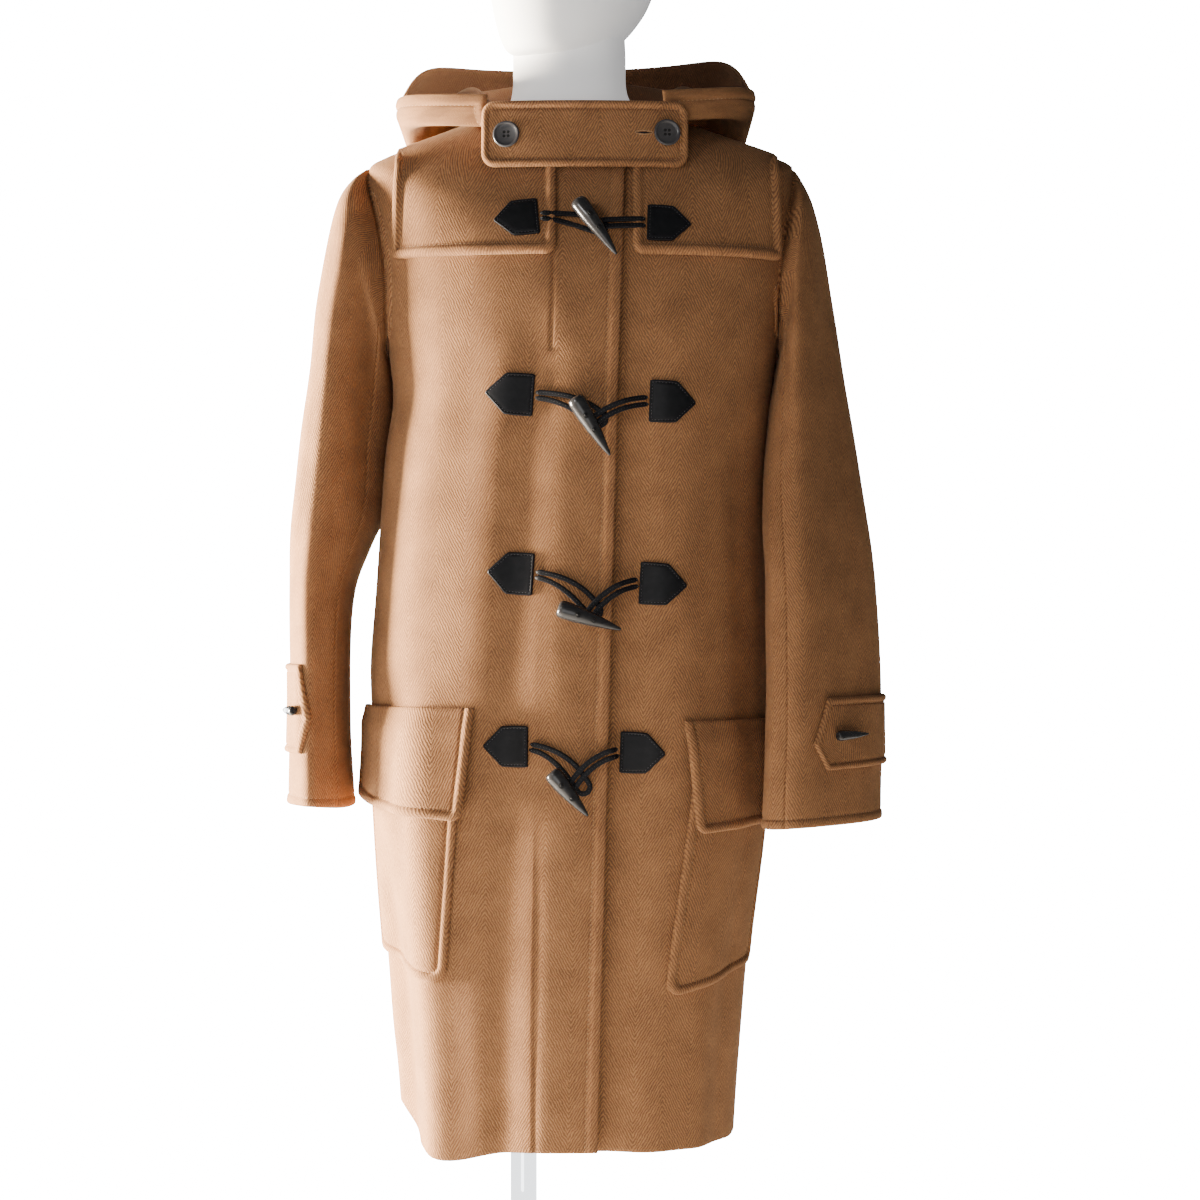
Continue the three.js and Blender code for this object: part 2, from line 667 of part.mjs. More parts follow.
// hold keeps the back of a ring level for longer before it comes down to the sides.
function hoodRingPoint(row, turn) {
  const s = Math.sin(radians(turn));
  const p = sectionPoint(row, turn, 0);
  if (Math.cos(radians(turn)) < 0) p.z = lerp(row.side, row.back_z, 1 - Math.abs(s) ** row.hold);
  p.z += HOOD_TILT * s * ease((row.half_width - 90) / 60);
  return p;
}
function hoodPoint(turn, place) {
  return throughPoints(HOOD.map((row) => hoodRingPoint(row, turn)), place);
}
function hoodGeometry(side) {
  const turns = steps(side * HOOD_THROAT_TURN, side * (180 - SEAM_TURN), 11);
  const places = steps(0, HOOD.length - 1, 10);
  const out = (t, s, by) =>
    hoodPoint(t, s).addScaledVector(normalOf(hoodPoint, t, s, 0.5, 0.02), by);
  const layer = (by) => places.map((s) => turns.map((t) => out(t, s, by)));
  return wallGeometry(layer(0), layer(-CLOTH), false);
}
add("hood_right", hoodGeometry(-1), "wool");
add("hood_left", hoodGeometry(1), "wool");

// Throat tab: a strap across the front of the neck, lying on the hood's front.
const TAB_LEFT_X = 97;
const TAB_RIGHT_X = -93;
const TAB_MID_Z = 1459;
const TAB_HALF = 31;
const TAB_CORNER = 13;
const TAB_RIM_PLACE = 7.2; // the hood's ring that it rests on
function throatPoint(x, z) {
  let turn = 0;
  for (let i = 0; i < 12; i += 1) turn += (x - hoodPoint(turn, TAB_RIM_PLACE).x) * 0.3;
  const lean = lerp(6.4, 0.4, (z - TAB_MID_Z + TAB_HALF) / (2 * TAB_HALF));
  return vec(x, hoodPoint(turn, TAB_RIM_PLACE).y - lean, z);
}
const throatMovedOut = (x, z, out) =>
  throatPoint(x, z).addScaledVector(normalOf(throatPoint, x, z, 1, 1), out);

// Half the tab's height at x: full, and rounded over a corner's length at each end.
function throatHalf(x) {
  const past = TAB_CORNER - Math.min(x - TAB_RIGHT_X, TAB_LEFT_X - x);
  return past <= 0 ? TAB_HALF : TAB_HALF - TAB_CORNER + Math.sqrt(Math.max(0, TAB_CORNER ** 2 - past ** 2));
}
{
  const ends = [0, 0.12, 0.45, 1].map((share) => share * TAB_CORNER);
  const xs = [
    ...ends.map((d) => TAB_RIGHT_X + d),
    ...steps(TAB_RIGHT_X + 26, TAB_LEFT_X - 26, 7),
    ...ends.map((d) => TAB_LEFT_X - d).reverse(),
  ];
  const shares = [-1, -0.35, 0.35, 1];
  const at = (x, v, out) => throatMovedOut(x, TAB_MID_Z + v * throatHalf(x), out);
  const layer = (out) => shares.map((v) => xs.map((x) => at(x, v, out)));
  add("throat_tab", wallGeometry(layer(CLOTH), layer(0), false), "wool");
}

// Turns a shape that is made along +Z so that it stands at a place, along a direction.
function standing(geometry, place, way) {
  const turned = new THREE.Quaternion().setFromUnitVectors(vec(0, 0, 1), way.clone().normalize());
  return geometry.applyQuaternion(turned).translate(place.x, place.y, place.z);
}

// Buttons: a dished disc with a raised rim.
const BUTTON_R = 12.4;
const BUTTON_T = 3.6;
function buttonGeometry() {
  const profile = [
    [0, 0],
    [BUTTON_R - 2, 0],
    [BUTTON_R, 1.6],
    [BUTTON_R - 0.6, BUTTON_T],
    [BUTTON_R - 2.6, BUTTON_T],
    [BUTTON_R - 4, BUTTON_T - 1.2],
    [0, BUTTON_T - 1.2],
  ];
  const geometry = new THREE.LatheGeometry(profile.map(([r, y]) => new THREE.Vector2(r, y)), 14);
  return geometry.rotateX(Math.PI / 2);
}
for (const [name, x, z] of [["button_right", -69.6, 1457.8], ["button_left", 76.8, 1460]]) {
  const way = normalOf(throatPoint, x, z, 1, 1);
  const seat = throatMovedOut(x, z, CLOTH + 0.5);
  add(name, standing(buttonGeometry(), seat, way), "button");
}

// A point over the coat's front at this x and z, moved out by one of the two functions that do that.
function frontAt(move, surface, x, z, out) {
  let turn = turnAtX(x, z);
  let h = z;
  for (let i = 0; i < 25; i += 1) {
    const p = move(surface, turn, h, out);
    h += 0.8 * (z - p.z);
    turn += degrees((x - p.x) / (BODY[8].half_width * 1.3));
  }
  return { p: move(surface, turn, h, out), n: normalOf(surface, turn, h, 0.5, 1) };
}

// Toggle closures, from the top: the straight edge of each leather patch and its point, the two ends of the
// horn, and the far end of the loop that it is pushed through.
const CLOSURES = table(
  ["number", "right_x", "right_z", "right_tip_x", "right_tip_z", "left_x", "left_z", "left_tip_x",
    "left_tip_z", "half_height", "butt_x", "butt_z", "tip_x", "tip_z", "loop_x", "loop_z", "seat"],
  [
    [1, -40, 1381, -81, 1377, 59, 1375, 99, 1373.5, 17, -5, 1395, 31, 1343.5, 21.5, 1371, 0],
    [2, -44, 1216, -88, 1219, 61, 1211, 102.5, 1209.3, 19.5, -7, 1213, 25, 1160.6, 21.4, 1194, 0.9],
    [3, -44, 1053, -86, 1055.8, 52, 1045.6, 94.5, 1043, 19.5, -22, 1023, 35, 1003.4, 17, 1020, 0],
    [4, -49, 897, -90, 897.3, 34, 892, 75, 890.4, 19, -28, 875.4, 5, 835.7, 7, 861, 1],
  ],
);
const STRAND_W = 4.6;
const STRAND_T = 2.5;
const LOOP_LIFT = 3.2; // middle of the loop above the cloth
const THONG_LIFT = LOOP_LIFT + STRAND_T + 0.5; // the thong crosses over the loop
const THONG_SPREAD = 3.1; // half the distance between its two strands
const HORN_R = 8.2;
const HORN_LIFT = THONG_LIFT + STRAND_T / 2 + 0.35;

// A leather patch: a pentagon whose point looks away from the closure, laid on the cloth.
function patchSolid(surface, edge, tip, half, under, base) {
  const length = Math.hypot(tip.x - edge.x, tip.z - edge.z);
  const way = { x: (tip.x - edge.x) / length, z: (tip.z - edge.z) / length };
  const across = { x: -way.z, z: way.x };
  const shares = [0, 0.06, 0.35, 0.6, 1];
  const widths = [0.95, 1, 1, 0.97, 0.06];
  const layer = (out) =>
    shares.map((share, i) =>
      steps(-1, 1, 4).map((side) => {
        const a = half * side * widths[i];
        const x = edge.x + way.x * length * share + across.x * a;
        const z = edge.z + way.z * length * share + across.z * a;
        return frontAt(offBody, surface, x, z, out).p;
      }),
    );
  let solid = toSolid(wallGeometry(layer(base + GAP + LEATHER), layer(base - SINK), false));
  for (const other of under) solid = solid.subtract(other);
  return largestBody(solid);
}

// A flat strip of leather along points, each with its own up direction.
function stripGeometry(path) {
  const corners = [
    [-1, -1],
    [1, -1],
    [1, 1],
    [-1, 1],
  ];
  const rings = path.map(({ p, n }, i) => {
    const before = path[Math.max(i - 1, 0)].p;
    const after = path[Math.min(i + 1, path.length - 1)].p;
    const ahead = after.clone().sub(before).normalize();
    const side = ahead.clone().cross(n).normalize();
    const up = side.clone().cross(ahead).normalize();
    return corners.map(([a, b]) =>
      p.clone().addScaledVector(side, (a * STRAND_W) / 2).addScaledVector(up, (b * STRAND_T) / 2),
    );
  });
  return loftGeometry(rings);
}

// The middle line of a doubled strand: a curve from a patch's edge that ends level with the horn.
function strandMiddle(start, end, t) {
  const bend = { x: lerp(start.x, end.x, 0.6), z: lerp(start.z, end.z, 0.12) };
  const mix = (a, b, c) => (1 - t) ** 2 * a + 2 * t * (1 - t) * b + t * t * c;
  return { x: mix(start.x, bend.x, end.x), z: mix(start.z, bend.z, end.z) };
}

// A U of leather from a patch's edge to its bight and back. spread is half the distance between the strands.
function bightPath(start, end, spreadNear, spreadFar, liftAt) {
  const wayX = Math.sign(end.x - start.x);
  const neck = { x: end.x - wayX * spreadFar, z: end.z };
  const leg = [0, 0.25, 0.5, 0.75, 1].map((t) => {
    const here = strandMiddle(start, neck, t);
    const next = strandMiddle(start, neck, t + 0.01);
    const last = strandMiddle(start, neck, t - 0.01);
    const length = Math.hypot(next.x - last.x, next.z - last.z);
    return { ...here, t, way: { x: (next.x - last.x) / length, z: (next.z - last.z) / length } };
  });
  const offset = (point, side) => {
    const spread = lerp(spreadNear, spreadFar, ease(point.t / 0.85));
    const aside = side * spread;
    return { x: point.x - aside * point.way.z, z: point.z + aside * point.way.x, t: point.t };
  };
  const final = leg[leg.length - 1];
  const bow = [-52, 0, 52].map((angle) => {
    const c = Math.cos(radians(angle)) * spreadFar;
    const s = Math.sin(radians(angle)) * spreadFar;
    return {
      x: final.x + final.way.x * c + final.way.z * s,
      z: final.z + final.way.z * c - final.way.x * s,
      t: 1 + c / 40,
    };
  });
  const flat = [
    ...leg.map((point) => offset(point, 1)),
    ...bow,
    ...[...leg].reverse().map((point) => offset(point, -1)),
  ];
  return flat.map((point) => frontAt(movedOut, bodyPoint, point.x, point.z, liftAt(point)));
}

// A horn toggle: a tapered, slightly bowed rod with a domed butt.
function hornGeometry(butt, tip, up, radius) {
  const rings = table(
    ["along", "size"],
    [
      [0, 0.55],
      [0.02, 0.86],
      [0.08, 1],
      [0.3, 0.95],
      [0.55, 0.76],
      [0.8, 0.46],
      [0.96, 0.22],
      [1, 0.1],
    ],
  );
  const ahead = tip.clone().sub(butt).normalize();
  const side = ahead.clone().cross(up).normalize();
  const rise = side.clone().cross(ahead).normalize();
  return loftGeometry(
    rings.map(({ along, size }) => {
      const bow = Math.sin(Math.PI * along) * radius * 0.18;
      const middle = butt.clone().lerp(tip, along).addScaledVector(rise, bow);
      return Array.from({ length: 8 }, (_, i) => {
        const angle = (i * Math.PI) / 4;
        return middle
          .clone()
          .addScaledVector(side, Math.cos(angle) * radius * size)
          .addScaledVector(rise, Math.sin(angle) * radius * size * 0.92);
      });
    }),
  );
}

for (const c of CLOSURES) {
  const onYoke = c.number === 1;
  const base = onYoke ? CLOTH + GAP : 0;
  const rightEdge = { x: c.right_x, z: c.right_z };
  const leftEdge = { x: c.left_x, z: c.left_z };
  const rightTip = { x: c.right_tip_x, z: c.right_tip_z };
  const leftTip = { x: c.left_tip_x, z: c.left_tip_z };
  const leftSurface = onYoke ? bodyPoint : underFrontPoint;
  const underRight = onYoke ? [grown.front_right, grown.yoke_right] : [grown.front_right];
  const underLeft = onYoke ? [grown.front_left, grown.yoke_left] : [grown.front_left];
  add(`patch_right_${c.number}`,
    toGeometry(patchSolid(bodyPoint, rightEdge, rightTip, c.half_height, underRight, base)), "leather");
  add(`patch_left_${c.number}`,
    toGeometry(patchSolid(leftSurface, leftEdge, leftTip, c.half_height, underLeft, base)), "leather");
  const loopEnd = { x: c.loop_x, z: c.loop_z };
  const loopStart = { x: c.right_x + 1.4, z: c.right_z };
  const loopLift = ({ t }) => LOOP_LIFT + base * (1 - ease(t / 0.5));
  const loop = bightPath(loopStart, loopEnd, 2.6, 6.2, loopLift);
  add(`loop_${c.number}`, stripGeometry(loop), "leather");
  const heart = { x: lerp(c.butt_x, c.tip_x, 0.42), z: lerp(c.butt_z, c.tip_z, 0.42) };
  const thongStart = { x: c.left_x - 1.4, z: c.left_z };
  const sunk = onYoke ? 0 : underlapDrop(turnAtX(c.left_x, c.left_z), c.left_z);
  const run = onYoke ? 20 : c.left_x - closureX(c.left_z) - 4;
  const thongLift = ({ x }) => lerp(LOOP_LIFT + base + sunk, THONG_LIFT, ease((c.left_x - x) / run));
  const thong = bightPath(thongStart, heart, THONG_SPREAD, THONG_SPREAD, thongLift);
  add(`thong_${c.number}`, stripGeometry(thong), "leather");
  const butt = frontAt(movedOut, bodyPoint, c.butt_x, c.butt_z, HORN_LIFT - c.seat + HORN_R * 0.9);
  const tip = frontAt(movedOut, bodyPoint, c.tip_x, c.tip_z, HORN_LIFT - c.seat + HORN_R * 0.75);
  add(`toggle_${c.number}`, hornGeometry(butt.p, tip.p, butt.n, HORN_R), "horn");
}

// Small horns on the cuff tabs.
const CUFF_HORN_R = 4.6;
const CUFF_HORNS = table(
  ["name", "sleeve", "butt_around", "tip_around", "place"],
  [
    ["cuff_toggle_right", "sleeve_right", 72, 36, 10.8],
    ["cuff_toggle_left", "sleeve_left", 88, 58, 10.85],
  ],
);
for (const spec of CUFF_HORNS) {
  const out = GAP + CLOTH + CUFF_HORN_R;
  const butt = sleeveMovedOut(spec.sleeve, spec.butt_around, spec.place, out);
  const tip = sleeveMovedOut(spec.sleeve, spec.tip_around, spec.place, out);
  const middle = (spec.butt_around + spec.tip_around) / 2;
  const skin = sleeveMovedOut(spec.sleeve, middle, spec.place, 0);
  const up = sleeveMovedOut(spec.sleeve, middle, spec.place, 1).sub(skin);
  add(spec.name, hornGeometry(butt, tip, up, CUFF_HORN_R), "horn");
}

// Dress form: hips, waist and bust, closed at the bottom, with the coat's own shoulders a little inside it.
const FORM = table(
  ["side", "front_z", "back_z", "mid_x", "half_width", "front_depth", "back_depth"],
  [
    [FORM_FLOOR_Z, FORM_FLOOR_Z, FORM_FLOOR_Z, -13, 118, 74, 80],
    [788, 788, 788, -13, 141, 88, 94],
    [815, 815, 815, -13, 154, 95, 101],
    [915, 915, 915, -13, 163, 100, 106],
    [1010, 1010, 1010, -12, 146, 95, 94],
    [1090, 1090, 1090, -9, 122, 86, 80],
    [1170, 1170, 1170, -6, 130, 96, 84],
    [1250, 1250, 1250, -3, 145, 108, 92],
    [1300, 1300, 1300, -2, 150, 107, 95],
    [1352, 1345, 1352, -2, 158, 98, 94],
    [1400, 1378, 1400, -2, 168, 91, 86],
    [1428, 1392, 1426, -2, 176, 84, 77],
  ],
);
const NECK = table(
  ["side", "front_z", "back_z", "mid_x", "half_width", "front_depth", "back_depth"],
  [
    [1493, 1447, 1499, -9, 66, 62, 52],
    [1503, 1466, 1507, -12, 57, 55, 49],
    [1518, 1495, 1519, -13, 53.5, 53, 50],
    [1545, 1540, 1545, -13, 53.5, 54, 52],
    [1575, 1575, 1575, -13, 52, 54, 54],
  ],
);
// Head: a plain egg, turned a little to the wearer's right. ahead is how far its sections stand forward, and
// the lowest ones tip down in front.
const HEAD = table(
  ["z", "ahead", "half_length", "half_width"],
  [
    [1546, 36, 14, 14],
    [1548, 30, 36, 32],
    [1555, 22, 58, 50],
    [1572, 15, 73, 61],
    [1600, 9, 86, 70],
    [1640, 4, 96, 75],
    [1680, 0, 98, 77],
    [1715, -4, 86, 70],
    [1742, -6, 62, 52],
    [1757, -7, 34, 30],
    [1762, -7, 12, 11],
  ],
);
const HEAD_X = -6;
const HEAD_Y = 6;
const HEAD_TURN = 36;
const CHIN_DROP = 0.13;
{
  const sides = 18;
  const turns = Array.from({ length: sides }, (_, i) => (i * 360) / sides);
  const ring = (row) => turns.map((turn) => sectionPoint(row, turn, 0));
  const inner = (turn) => (((turn + 180) % 360) - 180);
  const shoulders = [1453, 1465, 1476, 1486].map((h) =>
    turns.map((turn) => movedOut(underFrontPoint, inner(turn), h, -CLOTH - FORM_CLEARANCE)),
  );
  const torso = toSolid(loftGeometry([...FORM.map(ring), ...shoulders, ...NECK.map(ring)]));
  const face = radians(HEAD_TURN);
  const head = HEAD.map(({ z, ahead, half_length, half_width }) =>
    turns.map((turn) => {
      const forward = ahead + half_length * Math.cos(radians(turn));
      const aside = half_width * Math.sin(radians(turn));
      return vec(
        HEAD_X - forward * Math.sin(face) + aside * Math.cos(face),
        HEAD_Y - forward * Math.cos(face) - aside * Math.sin(face),
        z - CHIN_DROP * forward * ease((1620 - z) / 70),
      );
    }),
  );
  add("dress_form", toGeometry(torso.add(toSolid(loftGeometry(head)))), "form");
}

// Stand: a round plate with a socket, and a pole up to the form's flat floor.
const SOCKET_R = 20;
const SOCKET_TOP = 46;
const SOCKET_FROM = 4; // it is sunk into the plate
const PLATE_PROFILE = [[0, 0], [BASE_R, 0], [BASE_R, BASE_T - 3], [BASE_R - 5, BASE_T], [0, BASE_T]];
const SOCKET_PROFILE = [
  [0, SOCKET_FROM],
  [SOCKET_R, SOCKET_FROM],
  [SOCKET_R, SOCKET_TOP - 3],
  [SOCKET_R - 2, SOCKET_TOP],
  [0, SOCKET_TOP],
];
const POLE_PROFILE = [
  [0, SOCKET_TOP + GAP],
  [POLE_R, SOCKET_TOP + GAP],
  [POLE_R, FORM_FLOOR_Z - GAP],
  [0, FORM_FLOOR_Z - GAP],
];
function latheGeometry(profile, sides) {
  const points = profile.map(([r, z]) => new THREE.Vector2(r, z));
  return new THREE.LatheGeometry(points, sides).rotateX(Math.PI / 2);
}
const plate = toSolid(latheGeometry(PLATE_PROFILE, 36));
const socket = toSolid(latheGeometry(SOCKET_PROFILE, 16).translate(POLE_X, POLE_Y, 0));
add("base", toGeometry(plate.add(socket)), "steel");
add("pole", latheGeometry(POLE_PROFILE, 20).translate(POLE_X, POLE_Y, 0), "steel");

export default coat;
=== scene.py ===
# %% [markdown]
# # A duffle coat on a dress form
#
# The coat is heavy camel wool woven in herringbone, cut into a few large flat pieces whose edges are turned
# and stitched. This lesson makes each of those pieces as a surface worked out with numpy: two numbers say
# where a point lies on the garment, a formula gives its place in space, and a second formula gives the
# thickness of the cloth there, so that turned edges swell and stitch lines sink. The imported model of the
# coat is loaded first, because every piece has to lie where its plain solid lies.

# %% Load the frame
import math
import bmesh
import bpy
import numpy as np
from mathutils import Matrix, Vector


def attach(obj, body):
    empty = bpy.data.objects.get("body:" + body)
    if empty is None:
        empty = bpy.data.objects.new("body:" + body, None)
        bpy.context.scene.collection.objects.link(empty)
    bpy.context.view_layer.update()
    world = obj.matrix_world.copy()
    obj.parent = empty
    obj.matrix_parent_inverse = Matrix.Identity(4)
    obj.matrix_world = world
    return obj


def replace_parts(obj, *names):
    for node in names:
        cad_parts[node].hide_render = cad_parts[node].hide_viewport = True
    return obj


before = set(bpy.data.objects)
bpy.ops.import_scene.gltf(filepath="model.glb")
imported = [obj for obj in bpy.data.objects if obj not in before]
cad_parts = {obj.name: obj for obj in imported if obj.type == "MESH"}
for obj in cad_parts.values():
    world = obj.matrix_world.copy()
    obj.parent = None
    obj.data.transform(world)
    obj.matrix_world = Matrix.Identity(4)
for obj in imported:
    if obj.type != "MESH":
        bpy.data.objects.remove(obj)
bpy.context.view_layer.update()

# %% [markdown]
# ## Numbers of the pattern
#
# Lengths are millimetres while a piece is being worked out, and metres once it is a mesh. A smooth step and
# a bell are all that is needed to place a crease or a swelling. A table of sections becomes a smooth
# surface with a cubic curve through its rows.

# %% Steps, bells and tables
MM = 0.001
CLOTH, LEATHER, GAP = 3.0, 2.4, 0.3
HEM_Z, NECK_Z = 528.0, 1486.0
LENGTH = NECK_Z - HEM_Z


def ease(x):
    """A step from 0 to 1 with level ends: 3 x squared less 2 x cubed."""
    x = np.clip(x, 0, 1)
    return x * x * (3 - 2 * x)


def bell(x, spread):
    """1 at the middle, falling as e to the minus square of x over the spread."""
    return np.exp(-((x / spread) ** 2))


def mix(a, b, t):
    return a + (b - a) * t


def alike(*values):
    """Numbers and arrays made into arrays of one shape."""
    return np.broadcast_arrays(*(np.asarray(value, float) for value in values))


def sin_cos(degrees):
    return np.sin(np.radians(degrees)), np.cos(np.radians(degrees))


def either_way(angle):
    """An angle brought to between -180 and 180 degrees."""
    return (angle + 540) % 360 - 180


def unit(v):
    """A vector, or each of many, brought to length 1."""
    return v / np.maximum(np.linalg.norm(v, axis=-1, keepdims=True), 1e-9)


def lengths(points):
    """The distance run at each point of a line."""
    return np.concatenate([[0], np.cumsum(np.linalg.norm(np.diff(points, axis=0), axis=1))])


def on_line(at, along, points):
    """The places at some distances along a line."""
    return np.stack([np.interp(at, along, points[:, k]) for k in range(3)], -1)


def cubic(a, b, slope_a, slope_b, t):
    """From a to b with a slope at each end, while t goes from 0 to 1. The shares of the four are 2t^3 -
    3t^2 + 1, 3t^2 - 2t^3, t^3 - 2t^2 + t and t^3 - t^2."""
    start = (2 * t**3 - 3 * t**2 + 1) * a + (t**3 - 2 * t**2 + t) * slope_a
    return start + (3 * t**2 - 2 * t**3) * b + (t**3 - t**2) * slope_b


def rows_at(rows, value):
    """A table's columns at a key: a cubic between two rows, whose slopes are those between their
    neighbours."""
    key = rows[:, 0]
    value = np.asarray(value, float)
    k = np.clip(np.searchsorted(key, value, side="right") - 1, 0, len(key) - 2)
    low = np.maximum(np.arange(len(key)) - 1, 0)
    high = np.minimum(np.arange(len(key)) + 1, len(key) - 1)
    slope = (rows[high] - rows[low]) / (key[high] - key[low])[:, None]
    span = (key[k + 1] - key[k])[..., None]
    t = ((value - key[k]) / (key[k + 1] - key[k]))[..., None]
    return cubic(rows[k], rows[k + 1], slope[k] * span, slope[k + 1] * span, t)


def level(rows):
    """Sections whose front and back are as high as their sides, so that their height is given once."""
    return [[row[0], row[0], *row] for row in rows]


# %% [markdown]
# ## The coat's body
#
# The body is one surface. `turn` goes round it in degrees from the centre front and `h` goes up it. Each
# row of the table is a rounded section, and it may tilt, so that the neck is lower in front. The long soft
# folds of a thick wool coat are bells across the turn that fade out with height, and the hem swings a
# little up and down with them.

# %% Body sections and folds
# side_z, front_z, back_z, mid_x, half_width, front_depth, back_depth
BODY = np.array(level([
    [528, -15, 158, 130, 116], [580, -15, 161, 131, 118], [640, -15, 166, 132, 120],
    [716, -14.5, 172.5, 134, 122], [800, -12.5, 180, 135, 124], [880, -11.5, 186, 135, 124],
    [963, -12.5, 189, 134, 122], [1030, -11.5, 185.5, 132, 118], [1125, -9, 181, 130, 112],
    [1172, -6.5, 180, 130, 110]]) + [
    [1220, 1218, 1220, -1, 179, 130, 109], [1262, 1256, 1262, 0, 184, 129, 109],
    [1300, 1286, 1300, 0, 190, 126, 110], [1352, 1326, 1350, 0, 197, 119, 108],
    [1400, 1362, 1394, -1, 202, 110, 99], [1430, 1386, 1426, -2, 203, 102, 89],
    [1442, 1397, 1439, -2, 199, 97, 82], [1452, 1407, 1451, -3, 178, 93, 76],
    [1466, 1418, 1466, -4, 138, 88, 70], [1478, 1427, 1480, -5, 105, 84, 66],
    [1486, 1433, 1490, -6, 84, 82, 64]], float)
# turn at the hem and at the neck, spread, rise, from and to a height
BODY_FOLDS = [
    (-20, -9, 6.5, -6, 400, 1345), (-43, -40, 8, 10, 400, 1010), (-57, -40, 10, 5, 900, 1320),
    (-64, -66, 8, -8, 400, 860), (28, 31, 8, 5, 400, 1300), (44, 45, 7, 5, 400, 760),
    (60, 52, 8, -4, 400, 1260), (122, 126, 11, 7, 400, 1180), (147, 150, 9, -6, 400, 1100),
    (172, 176, 12, 7, 400, 1150), (200, 197, 9, -6, 400, 1060), (226, 224, 11, 7, 400, 1190),
    (248, 250, 8, -4, 400, 980)]
ROUNDED = 0.12
CLOSURE_TOP_X, CLOSURE_HEM_X = 39.6, 14.0
UNDERLAP = 52.0


# %% The body as a surface
def fold_rise(turn, h):
    """How far folds stand out: each is a bell across the turn, faded in and out with height."""
    up = (h - HEM_Z) / LENGTH
    rise = 0.0
    for hem, neck, spread, most, start, end in BODY_FOLDS:
        apart = either_way(turn - mix(hem, neck, up))
        rise = rise + most * bell(apart, spread) * ease((h - start) / 120) * ease((end - h) / 140)
    return rise + slack(turn, h)


def slack(turn, h):
    """The cloth's own unevenness, under a millimetre: three slow waves that cross at odd angles."""
    a, b = np.radians(turn), h / 100
    wave = np.sin(7 * a + 1.3 * b + 0.4) * np.sin(2.1 * b - 3 * a + 1.1)
    return 0.55 * wave + 0.3 * np.sin(17 * a - 0.9 * b + 2.0) * np.sin(1.7 * b + 5 * a)


def hem_rise(turn, h):
    """The hem dips under the fold on the right front and rises from there round to the back."""
    round_ = either_way(turn)
    side = ease((-round_ - 56) / 22) * ease((round_ + 172) / 30)
    return (29 * side - 10 * bell(round_ + 38, 13)) * ease((HEM_Z + 130 - h) / 130)


def section_point(row, turn, lift=0.0):
    """A rounded section: an ellipse that leans to a rectangle, tilted by the square of the cosine."""
    s, c = sin_cos(turn)
    depth = np.where(c > 0, row[..., 5], row[..., 6])
    tilt = np.where(c > 0, row[..., 1], row[..., 2]) - row[..., 0]
    x = row[..., 3] + row[..., 4] * s * (1 + ROUNDED * c * c) + lift * s
    y = -depth * c * (1 + ROUNDED * s * s) - lift * c
    return np.stack([x, y, row[..., 0] + tilt * c * c], -1)


def body_point(turn, h, sink=0.0):
    """The outside face of the body: a section moved out by its folds, with the hem's swing."""
    turn, h = alike(turn, h)
    p = section_point(rows_at(BODY, h), turn, fold_rise(turn, h) + sink)
    p[..., 2] += hem_rise(turn, h)
    return p


def turn_at_x(x, h):
    """The turn where the front of the body reaches this x, found by halving the range 24 times."""
    x, h = alike(x, h)
    row, low, high = rows_at(BODY, h), np.full(h.shape, -90.0), np.full(h.shape, 90.0)
    for _ in range(24):
        middle = (low + high) / 2
        less = section_point(row, middle)[..., 0] < x
        low, high = np.where(less, middle, low), np.where(less, high, middle)
    return (low + high) / 2


def closure_x(h):
    return mix(CLOSURE_HEM_X, CLOSURE_TOP_X, (h - HEM_Z) / LENGTH)


def under_drop(turn, h):
    """The under front lies deeper behind the closure's edge, and comes level beyond it."""
    drop = mix(9.5, 5.0, ease((h - 1280) / 150))
    return -drop * (1 - ease((turn - turn_at_x(closure_x(h), h) - 2) / 12)) * ease((turn + 70) / 30)


def under_point(turn, h):
    return body_point(turn, h, under_drop(turn, h))


ARM_Z, ARM_HALF, ARM_TURN = 1352, 90, 23


def armhole_turn(h):
    """Half the armhole's width in degrees, an oval round its middle height."""
    return ARM_TURN * np.sqrt(np.maximum(0, 1 - ((h - ARM_Z) / ARM_HALF) ** 2))


def normals(surface, a, b, step=(0.5, 1.0)):
    """The unit normal: the cross product of the surface's two directions."""
    along_a = surface(a + step[0], b) - surface(a - step[0], b)
    return unit(np.cross(along_a, surface(a, b + step[1]) - surface(a, b - step[1])))


print("hem front", body_point(0, HEM_Z).round(1), "shoulder", body_point(90, 1440).round(1))

# %% [markdown]
# ## From a surface to cloth
#
# A flat shape has no edge. A real edge of this coat is the cloth turned under and stitched about 1 cm in,
# so it is thicker than the panel, rounded, and pinched along the stitching. `cloth` makes both faces of a
# piece on one grid: the distance to the nearest finished edge decides how high the outer face stands and
# how low the inner face lies, and at the edge itself the two meet. Grid lines crowd near such edges and are
# wide apart elsewhere. A UV map holds the distance along and up the cloth, for the weave.

# %% Grid lines and the section of an edge
EDGE_LINES = np.array([0, 0.04, 0.12, 0.25, 0.45, 0.65, 0.82, 0.92, 1.0, 1.08, 1.2, 1.45, 1.8])
SEAM_LINES = np.array([0, 0.8, 1.8, 3.2, 5.5, 9.0])
FOLD_LINES = np.array([0, 0.3, 0.8, 1.6, 2.6, 5.0])
EDGE_ROUND = 2.4
WELT, WELT_PUFF = 9.0, 1.2
UNDERSIDE = 0.8
SEAM_DEPTH, SEAM_SPREAD = 1.2, 1.7
# a distance that no piece reaches, and what is added to leave an edge out
FAR, LEFT_OUT = 1e3, 300
# the shares of a height over which an edge turns into a seam, and over which a welt begins and ends
SEWN_FADE, WELT_FADE = 0.05, 0.012


